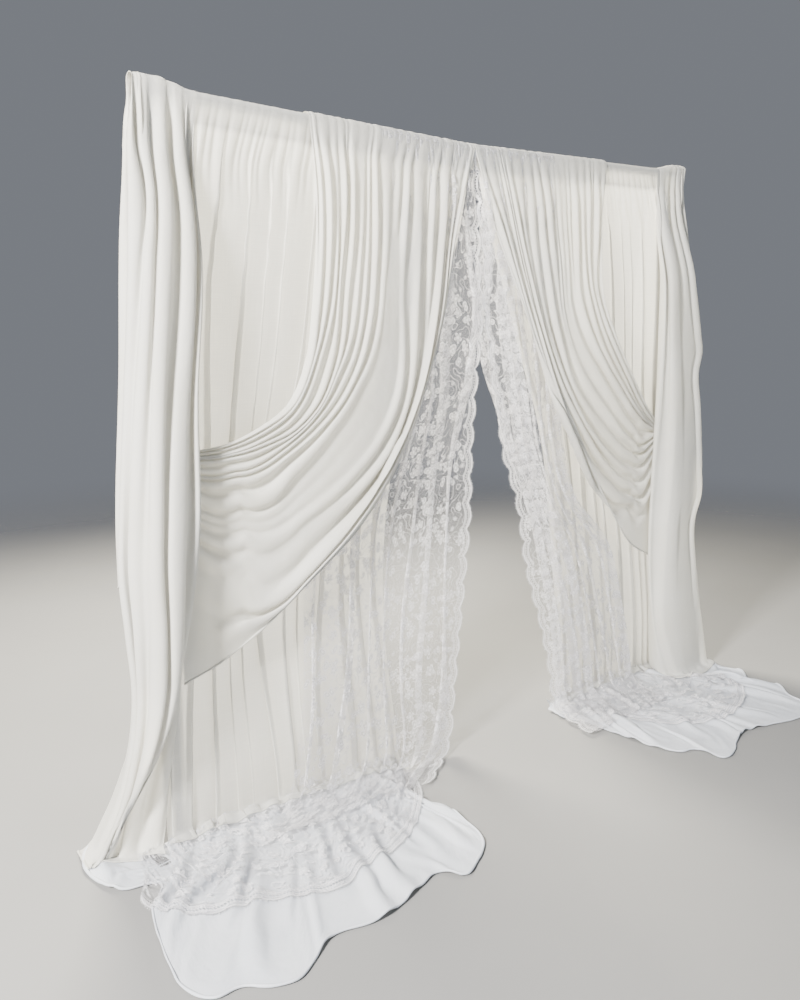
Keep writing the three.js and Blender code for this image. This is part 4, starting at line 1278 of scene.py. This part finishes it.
def make_side(name, side):
    seed = SHAPES[name]["seed"] * 10

    def hem(label, cloth, edge, radius, material, squash=0.6):
        return rolled_hem(f"{name}_{label}", *edge_line(cloth[2], edge), radius, side, material, squash)

    def fringe(label, cloth, edge, spacing, number):
        line, outward, normal = edge_line(cloth[2], edge)
        return repeat_along(f"{name}_{label}", line, outward, normal, LASH, side, LASH_THREAD, Spacing=spacing,
                            Smallest=0.75, Largest=1.25, Lean=0.5, Seed=seed + number)

    def stitches(label, cloth, edge, inset, number):
        line, _, normal = edge_line(cloth[2], edge, inset)
        return repeat_along(f"{name}_{label}", line + normal * OFF_CLOTH, np.gradient(line, axis=0), normal, STITCH,
                            side, THREAD, Spacing=0.006, Smallest=0.9, Largest=1.1, Lean=0.15, Seed=seed + number)

    def declare(cloth, held, rests_on, node, slot, *parts):
        obj, (width, length, area), _ = cloth
        for piece in (*parts, obj):
            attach(piece, "root")
        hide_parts(f"{name}_{node}")

    pool = make_pool(name, side, "pool_cloth", "pool_rim", base=-0.07, material=SATIN, growth=0.02,
                     folded=folded_outwards)
    declare(pool, "laid", ["floor"], "floor_pool", "pool_satin",
            hem("pool_hem", pool, "bottom", POOL_HEM_R, SATIN, squash=0.75))
    train = make_pool(name, side, "lace_train", "lace_rim", base=-0.08, material=LACE, growth=0.03,
                      folded=folded_sideways, under=pool[0])
    declare(train, "laid", [f"{name}_pool_cloth"], "lace_pool", "lace",
            fringe("train_fringe", train, "bottom", spacing=0.005, number=4))

    bar, under = [f"{name}_crossbar"], [pool[0], train[0]]
    voile = make_voile(name, side, under)
    declare(voile, "hung", bar, "voile_curtain", "voile",
            hem("voile_hem", voile, "bottom", HEM_R, VOILE, squash=0.4),
            stitches("voile_header_stitches", voile, "top", inset=12, number=0))
    lace = make_lace(name, side, under)
    declare(lace, "hung", bar, "lace_panel", "lace",
            fringe("lace_fringe", lace, "inner", spacing=0.0045, number=1))
    swag = make_swag(name, side)
    declare(swag, "draped", bar, "swag", "ivory_drape", hem("swag_hem", swag, "inner", HEM_R, IVORY),
            stitches("swag_stitches", swag, "inner", inset=2, number=2))
    leg = make_leg(name, side, under)
    declare(leg, "draped", bar, "leg_drape", "ivory_drape", hem("leg_foot_hem", leg, "bottom", HEM_R, IVORY),
            hem("leg_tail_hem", leg, "top", HEM_R, IVORY),
            stitches("leg_tail_stitches", leg, "top", inset=1, number=3))


finish_stand()
for name, side in SIDES.items():
    make_side(name, side)


# Floor, light and camera

def floor_material():
    """A pale matt floor that fades into the backdrop some metres out."""
    material, graph, shader, surface, end = new_material("pale floor")
    place = graph.object_place()
    colour = graph.mix(graph.noise(place, scale=1.7, detail=3.0), (0.27, 0.268, 0.265), (0.30, 0.298, 0.295))
    graph.fill(shader, Base_Color=colour, Roughness=0.85, Specular_IOR_Level=0.2)
    away = graph.band(graph.length(place), 3.2, 8.0)
    graph.plug(end, graph.open_up(1.0 - away, surface))
    return material


def make_floor():
    far, z = 9, -0.001
    corners = [(-far, -far, z), (far, -far, z), (far, far, z), (-far, far, z)]
    new_object("floor", corners, [[0, 1, 2, 3]], floor_material())


def area_light(name, place, target, size, power, colour):
    data = bpy.data.lights.new(name, "AREA")
    data.size, data.energy, data.color = size, power, colour
    light = put_in_scene(name, data)
    light.location = place
    light.rotation_euler = (Vector(target) - Vector(place)).to_track_quat("-Z", "Y").to_euler()


def make_studio():
    world = bpy.context.scene.world = bpy.data.worlds.new("studio")
    world.use_nodes = True
    sky = world.node_tree.nodes["Background"].inputs
    sky["Color"].default_value = (0.47, 0.50, 0.56, 1)
    sky["Strength"].default_value = 0.41
    middle = (MID_X, BAR_Y - 0.2, 1.0)
    area_light("key", (MID_X - 5.6, BAR_Y - 1.9, 3.8), middle, size=1.0, power=1500, colour=(1.0, 0.97, 0.92))
    area_light("fill", (MID_X + 1.0, BAR_Y - 5.6, 2.6), middle, size=3.0, power=100, colour=(0.82, 0.91, 1.0))
    area_light("back", (MID_X + 0.5, BAR_Y + 2.9, 3.6), (MID_X - 0.2, BAR_Y, 1.9), size=1.6, power=820,
               colour=(1.0, 0.94, 0.78))


def make_camera():
    data = bpy.data.cameras.new("camera")
    data.lens, data.sensor_width = 34.2, 36
    camera = bpy.context.scene.camera = put_in_scene("camera", data)
    camera.location = (MID_X - 2.605, BAR_Y - 2.740, 1.705)
    camera.rotation_euler = (math.radians(90 - 10.69), 0, math.radians(-39.51))


def set_light_paths():
    """Light that has passed a few layers of thin cloth adds little, so it isn't followed further."""
    paths = bpy.context.scene.cycles
    paths.max_bounces = 4
    paths.diffuse_bounces = 1
    paths.transmission_bounces = 3
    paths.transparent_max_bounces = 8


make_floor()
make_studio()
make_camera()
set_light_paths()
